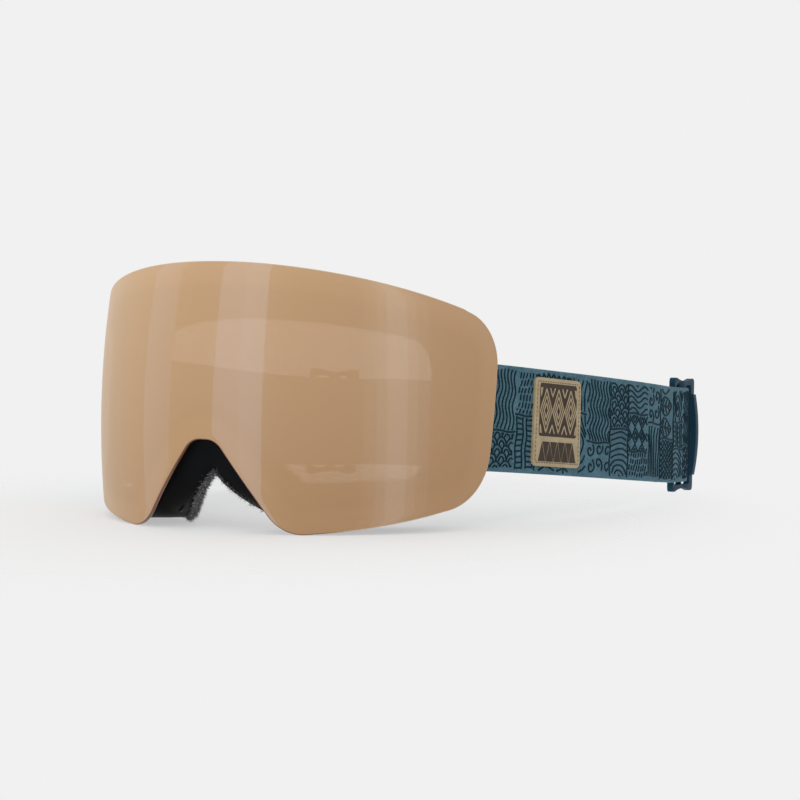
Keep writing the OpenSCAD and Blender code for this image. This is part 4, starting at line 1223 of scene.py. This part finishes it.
# %% [markdown]
# ## Raised lines
# A pattern of raised dark lines covers the strap: a patchwork of simple motifs such as waves,
# scales, zigzags, leaves and spirals. Each motif is a small function that draws flat lines in a
# cell, every cell is clipped to its own edge, and a slow wobble keeps the lines from looking
# ruled. A node tree then gives each line its half-round body before it is laid on the strap.

# %% Motifs
LINE_STEP = 0.7


def arc(cx, cy, r, angles):
    return [(cx + r * math.cos(a), cy + r * math.sin(a)) for a in angles]


def waves(w, h, rng):
    pitch, length, lean = 2.3, rng.uniform(9, 14), rng.uniform(0, 6.28)
    return [[(x, y + 0.9 * math.sin(x / length * 6.28 + lean + y * 0.12))
             for x in np.arange(0, w, LINE_STEP)] for y in np.arange(-1, h + 2, pitch)]


def upright(w, h, rng):
    return [[(y, x) for x, y in line] for line in waves(h, w, rng)]


def scales(w, h, rng, size=3.1):
    centres = [((col * 2 + row % 2) * size, row * size) for row in range(int(h / size) + 2)
               for col in range(-1, int(w / (2 * size)) + 2)]
    return [arc(cx, cy, r, np.linspace(0, math.pi, count))
            for cx, cy in centres for r, count in ((size, 12), (size * 0.5, 7))]


def zigzags(w, h, rng):
    tooth = rng.uniform(3.4, 4.6)
    return [[(i * tooth / 2, y + (tooth * 0.62 if i % 2 else 0)) for i in range(int(2 * w / tooth) + 2)]
            for y in np.arange(-3, h + 1, 2.4)]


def rain(w, h, rng):
    return [[(x + rng.uniform(-0.3, 0.3), y), (x + 0.7, y + rng.uniform(1.8, 2.6))]
            for k, y in enumerate(np.arange(0, h, 2.9)) for x in np.arange((k % 2) * 1.1, w, 2.2)]


def leaves(w, h, rng):
    lines, long = [], min(w, 15.0)
    belly = lambda x: 4.0 * math.sin(math.pi * min(1, max(0, x / long)) ** 0.8)
    xs = np.arange(0, long + 0.1, LINE_STEP)
    for cy in np.arange(4.6, h + 3, 9.4):
        lines += [[(x, cy + s * belly(x)) for x in xs] for s in (1, -1, 0)]
        lines += [[(x, cy), (x + 2.4, cy + s * belly(x + 2.4) * 0.75)] for x in np.arange(2, long - 4, 3.6)
                  for s in (1, -1)]
    return lines


def spirals(w, h, rng, size=6.4):
    lines = []
    for i, cx in enumerate(np.arange(size / 2, w + size / 2, size)):
        for cy in np.arange(size / 2 + (i % 2) * 1.6, h + 3, size):
            spin = rng.choice((1, -1))
            arms = [(0.4 + 0.36 * a, spin * a) for a in np.arange(0, 7.4, 0.35)]
            lines.append([(cx + r * math.cos(b), cy + r * math.sin(b)) for r, b in arms])
    return lines


def ladders(w, h, rng, wide=4.2):
    lines = []
    for x in np.arange(1.0, w, 6.5):
        lines += [[(x, 0), (x, h)], [(x + wide, 0), (x + wide, h)]]
        lines += [[(x, y), (x + wide, y)] for y in np.arange(1.2, h, 2.1)]
    return lines


def fans(w, h, rng):
    cx, cy = w * rng.uniform(0.3, 0.7), -1.5
    return [arc(cx, cy, r, np.linspace(0.05, 3.09, max(8, int(r * 3)))) for r in np.arange(2.2, w + h, 2.2)]


def diamond(cx, cy, a, b):
    return [(cx + a, cy), (cx, cy + b), (cx - a, cy), (cx, cy - b), (cx + a, cy)]


def diamonds(w, h, rng, size=6.6):
    return [diamond(i * size, j * size, r, r) for i in range(int(w / size) + 2)
            for j in range(int(h / size) + 2) for r in (size * 0.48, size * 0.22)]


def knots(w, h, rng):
    cx, cy = w * 0.45, h * 0.5
    return [[(cx + r * (1 + 0.22 * math.sin(3 * a + r * 0.3)) * math.cos(a), cy + r * 1.3 * math.sin(a))
             for a in np.linspace(0, 2 * math.pi, max(10, int(r * 7)))] for r in np.arange(1.3, w, 2.1)]


def reeds(w, h, rng):
    return [[(x + 1.6 * math.sin(y * 0.16 + x * 0.4) * (y / h), y) for y in np.arange(0, h, LINE_STEP * 1.5)]
            for x in np.arange(0.8, w, 2.2)]


# Each column: its width, and from the bottom up its cells, each a share of the height and a motif.
COLUMNS = [
    (17, (0.38, scales), (0.62, upright)), (13, (0.55, ladders), (0.45, rain)),
    (20, (0.30, waves), (0.34, leaves), (0.36, zigzags)), (16, (0.62, knots), (0.38, reeds)),
    (18, (0.34, spirals), (0.66, upright)), (15, (0.5, fans), (0.5, scales)),
    (19, (0.28, rain), (0.40, diamonds), (0.32, waves)), (14, (0.60, reeds), (0.40, spirals)),
    (18, (0.45, zigzags), (0.55, leaves)), (16, (0.34, fans), (0.30, ladders), (0.36, knots)),
]


# %% Cells of the pattern
def stepped(line, step):
    """The line with extra points, so that no step is much longer than asked. It has no last point."""
    for (x, y), (p, q) in zip(line, line[1:]):
        count = max(1, int(math.dist((x, y), (p, q)) / step))
        for i in range(count):
            yield (x + (p - x) * i / count, y + (q - y) * i / count)


def clipped(line, w, h, margin=0.5):
    """The runs of the line that lie in the cell."""
    runs = [[]]
    for x, y in [*stepped(line, LINE_STEP), line[-1]]:
        if margin < x < w - margin and margin < y < h - margin:
            runs[-1].append((x, y))
        else:
            runs.append([])
    return [run for run in runs if len(run) > 1]


def wobble(u, v):
    return (u + 0.35 * math.sin(v * 0.55 + u * 0.13), v + 0.3 * math.sin(u * 0.42 + v * 0.2 + 1.0))


def pattern(start, end, shift, seed, tall=STRAP_W - 2.2, shortest=4, step=1.2):
    """Flat lines in strap coordinates that fill the strap from start to end."""
    rng = random.Random(seed)
    lines, u, number = [], start, shift
    while u < end - shortest:
        width, *cells = COLUMNS[number % len(COLUMNS)]
        width = min(width, end - u)
        v = -tall / 2
        for share, motif in cells:
            h = tall * share
            lines += [[(u + x, v + y) for x, y in run] for line in motif(width, h, rng)
                      for run in clipped(line, width, h)]
            if v > -tall / 2:
                lines.append([(x, v) for x in np.arange(u, u + width, step)])
            v += h
        if number % 3:
            lines.append([(u + width, y) for y in np.arange(-tall / 2, tall / 2, step)])
        u, number = u + width, number + 1
    return [[wobble(*spot) for spot in line] for line in lines]


# %% Half-round lines
def cord_tree():
    tree, given, result = new_group("half_round_line", {
        "Lines": SHAPE, "Radius": 0.0003, "Sides": 6, "Finish": FINISH}, {"Ribs": SHAPE})
    line = put(tree, "GeometryNodeMeshToCurve", {0: given["Lines"]}).outputs[0]
    level = put(tree, "GeometryNodeSetCurveNormal", {0: line}, mode="Z_UP").outputs[0]
    bead = put(tree, "GeometryNodeCurvePrimitiveCircle",
               {"Resolution": given["Sides"], "Radius": given["Radius"]}).outputs[0]
    body = put(tree, "GeometryNodeCurveToMesh", {"Curve": level, "Profile Curve": bead, "Fill Caps": True})
    dress(tree, body.outputs[0], given["Finish"], result)
    return tree


CORD = cord_tree()


def flat_lines(name, lines, height):
    """Open lines as edges, in strap coordinates."""
    points, edges = [], []
    for line in lines:
        edges += [(len(points) + i, len(points) + i + 1) for i in range(len(line) - 1)]
        points += [(u, v, height) for u, v in line]
    return mesh_of(name, points, edges=edges)


def ribs(name, lines, height, radius, finish, rail):
    flat = flat_lines(name, lines, height)
    body = through(CORD, flat, {"Radius": radius * MM, "Sides": 6, "Finish": finish})
    return piece(name, lay(body, rail), [finish], smooth=70)


TOP = STRAP_T / 2
LINE_HEIGHT, LINE_RADIUS = TOP - 0.02, 0.4
for side, hand, shift in (("left", 1, 0), ("right", -1, 4)):
    rail = rails[side]
    begin = rail.nearest(np.array([BAR[0] * hand, BAR[1] - WRAP, BAR[2]])) + 1.0
    lines = pattern(begin, rail.length - 1.0, shift, seed=11 + shift)
    made = ribs(f"raised_lines_{side}", lines, LINE_HEIGHT, LINE_RADIUS, raised_yarn, rail)
    ride_side(made, side, "webbing")
for side, start, end, shift in (("left", 1.0, half_length, 3), ("right", half_length, back_length - 1, 8)):
    lines = pattern(start, end, shift, seed=31 + shift)
    made = ribs(f"raised_lines_back_{side}", lines, LINE_HEIGHT, LINE_RADIUS, raised_yarn, rails["back"])
    ride_back(made, side, "webbing")

# %% [markdown]
# ## Patch
# A tan leather patch is stitched to the strap on the wearer's left. It has a pressed dark panel
# with a plain geometric design, and a row of dark triangles below it. The plate is a rounded sheet
# drawn flat; the design is made of the same half-round lines, only finer and tan, and the stitches
# are instances spaced along the border by Geometry Nodes.


# %% Leather
def leather(name, colour, darker, depth):
    material, tree, shader = new_finish(name, Roughness=0.62, Specular_IOR_Level=0.2)
    cloth = cloth_place(tree)
    pores = put(tree, "ShaderNodeTexVoronoi", {"Vector": cloth, "Scale": 1500.0}, feature="SMOOTH_F1")
    mottle = noise(tree, cloth, 260.0, Detail=6.0)
    feed(tree, shader, {"Base Color": blend_colour(tree, ramp(tree, mottle, 0.3, 0.7), darker, colour),
                        "Normal": relief(tree, calc(tree, "ADD", pores.outputs[0], mottle), depth, 0.0002)})
    return material


tan_leather = leather("tan_leather", (0.50, 0.40, 0.25), (0.38, 0.30, 0.185), 0.35)
dark_leather = leather("dark_leather", (0.062, 0.042, 0.031), (0.040, 0.027, 0.020), 0.3)
thread = leather("brown_thread", (0.10, 0.07, 0.045), (0.06, 0.042, 0.03), 0.2)

# %% Patch plate
PATCH_W, PATCH_H, PATCH_ROUND = 32.0, 35.0, 2.5
FACE_W, PATCH_REACH = TOP + 1.25, (23.5, 55.5)
PRESSED = (FACE_W - 0.2, FACE_W + 0.1)
patch_rail = rails["left"]
span = run_d[1] - BAR[1]
patch_from, patch_to = (patch_rail.nearest(run_at(y / span)[0]) for y in PATCH_REACH)
patch_u = (patch_from + patch_to) / 2
print("patch from", round(patch_from, 1), "to", round(patch_to, 1), "mm along the strap")


def rounded_box_line(w, h, r, inset=0.0, steps=8):
    """A rounded box round the patch's middle, in strap coordinates."""
    half_w, half_h, r = w / 2 - inset, h / 2 - inset, max(r - inset, 0.2)
    turns = [[math.radians(start + 90 * i / steps) for i in range(steps + 1)] for start in (0, 90, 180, 270)]
    return [(patch_u + cx * (half_w - r) + r * math.cos(a), cy * (half_h - r) + r * math.sin(a))
            for (cx, cy), turn in zip(((1, 1), (-1, 1), (-1, -1), (1, -1)), turns) for a in turn]


def plate(w, h, r, low, high, soft, middle=0.0, rounds=12):
    """A rounded plate: its sides, a soft edge and rings closing on its middle."""
    rings = [(0, low), (0, high - soft), (soft * 0.3, high - soft * 0.3), (soft, high)]
    rings += [(soft + (min(w, h) / 2 - soft) * (i / rounds), high) for i in range(1, rounds)]
    loops = [[(u, v + middle, z) for u, v in rounded_box_line(w, h, r + inset * 0.6, inset)]
             for inset, z in rings]
    return loops_mesh("plate", loops)


def lay_patch(name, flat, finish):
    return settle(piece(name, lay(flat, patch_rail), [finish], smooth=40), "goggles", "patch")


base_plate = lay_patch(
    "patch_plate", plate(PATCH_W, PATCH_H, PATCH_ROUND, TOP + 0.05, FACE_W, 0.3), tan_leather)
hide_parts("strap_patch")
lay_patch("patch_panel_1", plate(25.5, 21.0, 1.2, *PRESSED, 0.1, middle=4.9), dark_leather)

# %% Patch design
DIAMOND_V, DIAMOND_SLIMNESS, NOTCH = 4.6, 2.15, 3.4
design = [diamond(cx, DIAMOND_V, k, k * DIAMOND_SLIMNESS) for cx in (-8.4, 0.0, 8.4) for k in (4.0, 2.7, 1.4)]
for cx, left, right in ((-12.2, 0, 0.9), (-4.2, 1.7, 1.7), (4.2, 1.7, 1.7), (12.2, 0.9, 0)):
    for base_v, way in ((13.6, -1), (-4.4, 1)):
        design.append([(cx - left, base_v), (cx, base_v + way * NOTCH), (cx + right, base_v)])
design = [[(patch_u + x, y) for x, y in [*stepped(line, 0.8), line[-1]]] for line in design]
settle(ribs("patch_design", design, FACE_W + 0.08, 0.3, tan_leather, patch_rail), "goggles", "patch")

# %% Dark triangles below the panel
TRIANGLE_PITCH, TRIANGLE_HALF, BAND_V, BASE_REACH, TIP_REACH = 2.6, 2.25, -11.6, 3.9, 3.7
triangles = []
for k in range(9):
    x, flip = patch_u + (k - 4) * TRIANGLE_PITCH, 1 if k % 2 else -1
    base_v, tip_v = BAND_V + BASE_REACH * flip, BAND_V - TIP_REACH * flip
    triangles.append(loops_mesh("triangle", [
        [(x - TRIANGLE_HALF, base_v, z), (x + TRIANGLE_HALF, base_v, z), (x, tip_v, z)] for z in PRESSED]))
lay_patch("patch_triangles", tidy(joined_mesh("triangles", triangles)), dark_leather)


# %% Stitches
def stitch_tree():
    tree, given, result = new_group("stitch_row", {
        "Seam": SHAPE, "Stitch": THING, "Spacing": 0.0018, "Finish": FINISH}, {"Stitches": SHAPE})
    seam = put(tree, "GeometryNodeMeshToCurve", {0: given["Seam"]}).outputs[0]
    even = put(tree, "GeometryNodeResampleCurve", {"Curve": seam, "Length": given["Spacing"]},
               mode="LENGTH").outputs[0]
    way = put(tree, "GeometryNodeInputTangent").outputs[0]
    turned = put(tree, "FunctionNodeAlignRotationToVector", {"Vector": way}, axis="X").outputs[0]
    single = put(tree, "GeometryNodeObjectInfo", {"Object": given["Stitch"]}).outputs["Geometry"]
    row = put(tree, "GeometryNodeInstanceOnPoints", {"Points": even, "Instance": single, "Rotation": turned})
    dress(tree, row.outputs[0], given["Finish"], result)
    return tree


STITCH = stitch_tree()


def stitches(name, seams, height, long, thick, spacing, finish, rail):
    """Rows of single stitches, each a short thread that is thick in its middle."""
    sections = []
    for a in (math.pi * i / 6 for i in range(7)):
        r = thick * max(0.25, math.sin(a))
        sections.append([(-long / 2 * math.cos(a), r * math.cos(b), r * 0.7 * math.sin(b))
                         for b in (2 * math.pi * k / 6 for k in range(6))])
    single = new_object("stitch", loops_mesh("stitch", sections))
    row = through(STITCH, flat_lines(name, seams, height),
                  {"Stitch": single, "Spacing": spacing * MM, "Finish": finish})
    bpy.data.objects.remove(single)
    return piece(name, lay(row, rail), [finish], smooth=80)


border = rounded_box_line(PATCH_W, PATCH_H, PATCH_ROUND, 1.5)
settle(stitches("patch_stitches", [border + border[:1]], FACE_W + 0.02, 1.15, 0.17, 1.7, thread, patch_rail),
       "goggles", "patch")
SEAMS_U, SEAM_HALF = (4.5, 7.0), 18
for side in ("left", "right"):
    sewn = [[(u, v) for v in np.linspace(-SEAM_HALF, SEAM_HALF, 30)] for u in SEAMS_U]
    made = stitches(f"end_stitches_{side}", sewn, -TOP - 0.02, 1.3, 0.2, 2.0, raised_yarn, rails[side])
    ride_side(made, side, "webbing")

# %% [markdown]
# ## Small parts
# The seal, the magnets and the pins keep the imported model's shape, and only their material
# changes: black rubber and plated steel with the shared grain.

# %% Materials on carried-over parts
for node, finish in {"lens_gasket": seal_rubber, "lens_magnets": plated_steel,
                     "frame_magnets": plated_steel, "outrigger_pins": plated_steel}.items():
    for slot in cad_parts[node].material_slots:
        slot.material = finish
    print(node, "is now", finish.name)

# %% [markdown]
# ## Reflections in the lens
# The mirrored bands are real light: tall narrow lamps stand where the curved lens mirrors them
# towards the camera. The two edges of each lamp come from the law of reflection at two chosen
# points of the lens, so that the bands stay right for this lens and this camera. The lamps add
# nothing to matt surfaces. Their light is a little blue, because the tan mirror turns it grey. The
# soft band on the right is three lamps of growing width, one behind another.


# %% Strip lamps
def lens_place(s, v):
    return raw_place((s, v), 0) + SHIFT


def mirror_way(s, v):
    here = lens_place(s, v)
    normal = (lens_place(s + 0.5, v) - here).cross(lens_place(s, v + 0.5) - here).normalized()
    look = (here - Vector(photo_camera.location) / MM).normalized()
    return look - 2 * look.dot(normal) * normal


STRIP_V, STRIP_TALL = 50, 2.4
BLUE_LIGHT, GREY_LIGHT = (0.60, 0.88, 1.40), (0.74, 0.88, 0.96)


def strip_lamp(name, s_from, s_to, glow, tint, far=1.6):
    edges = [lens_place(s, STRIP_V) * MM + mirror_way(s, STRIP_V) * far for s in (s_from, s_to)]
    aim = lens_place((s_from + s_to) / 2, STRIP_V) * MM
    width = (edges[1] - edges[0]).length
    made = lamp(name, tuple((edges[0] + edges[1]) / 2), tuple(aim), width, STRIP_TALL,
                glow * math.pi * width * STRIP_TALL)
    made.visible_diffuse = False
    made.data.color = tint
    print(name, "is", round(width, 2), "m wide")


strip_lamp("strip_left", -32, -17, 0.72, BLUE_LIGHT)
strip_lamp("strip_middle", 4, 24.5, 1.55, BLUE_LIGHT)
strip_lamp("strip_middle_core", 15, 24.5, 0.6, GREY_LIGHT, far=1.7)
for number, (half, glow) in enumerate(((4, 1.0), (8, 0.7), (13, 0.45))):
    strip_lamp(f"strip_right_{number + 1}", 76 - half, 76 + half, glow, GREY_LIGHT, far=1.6 + 0.1 * number)
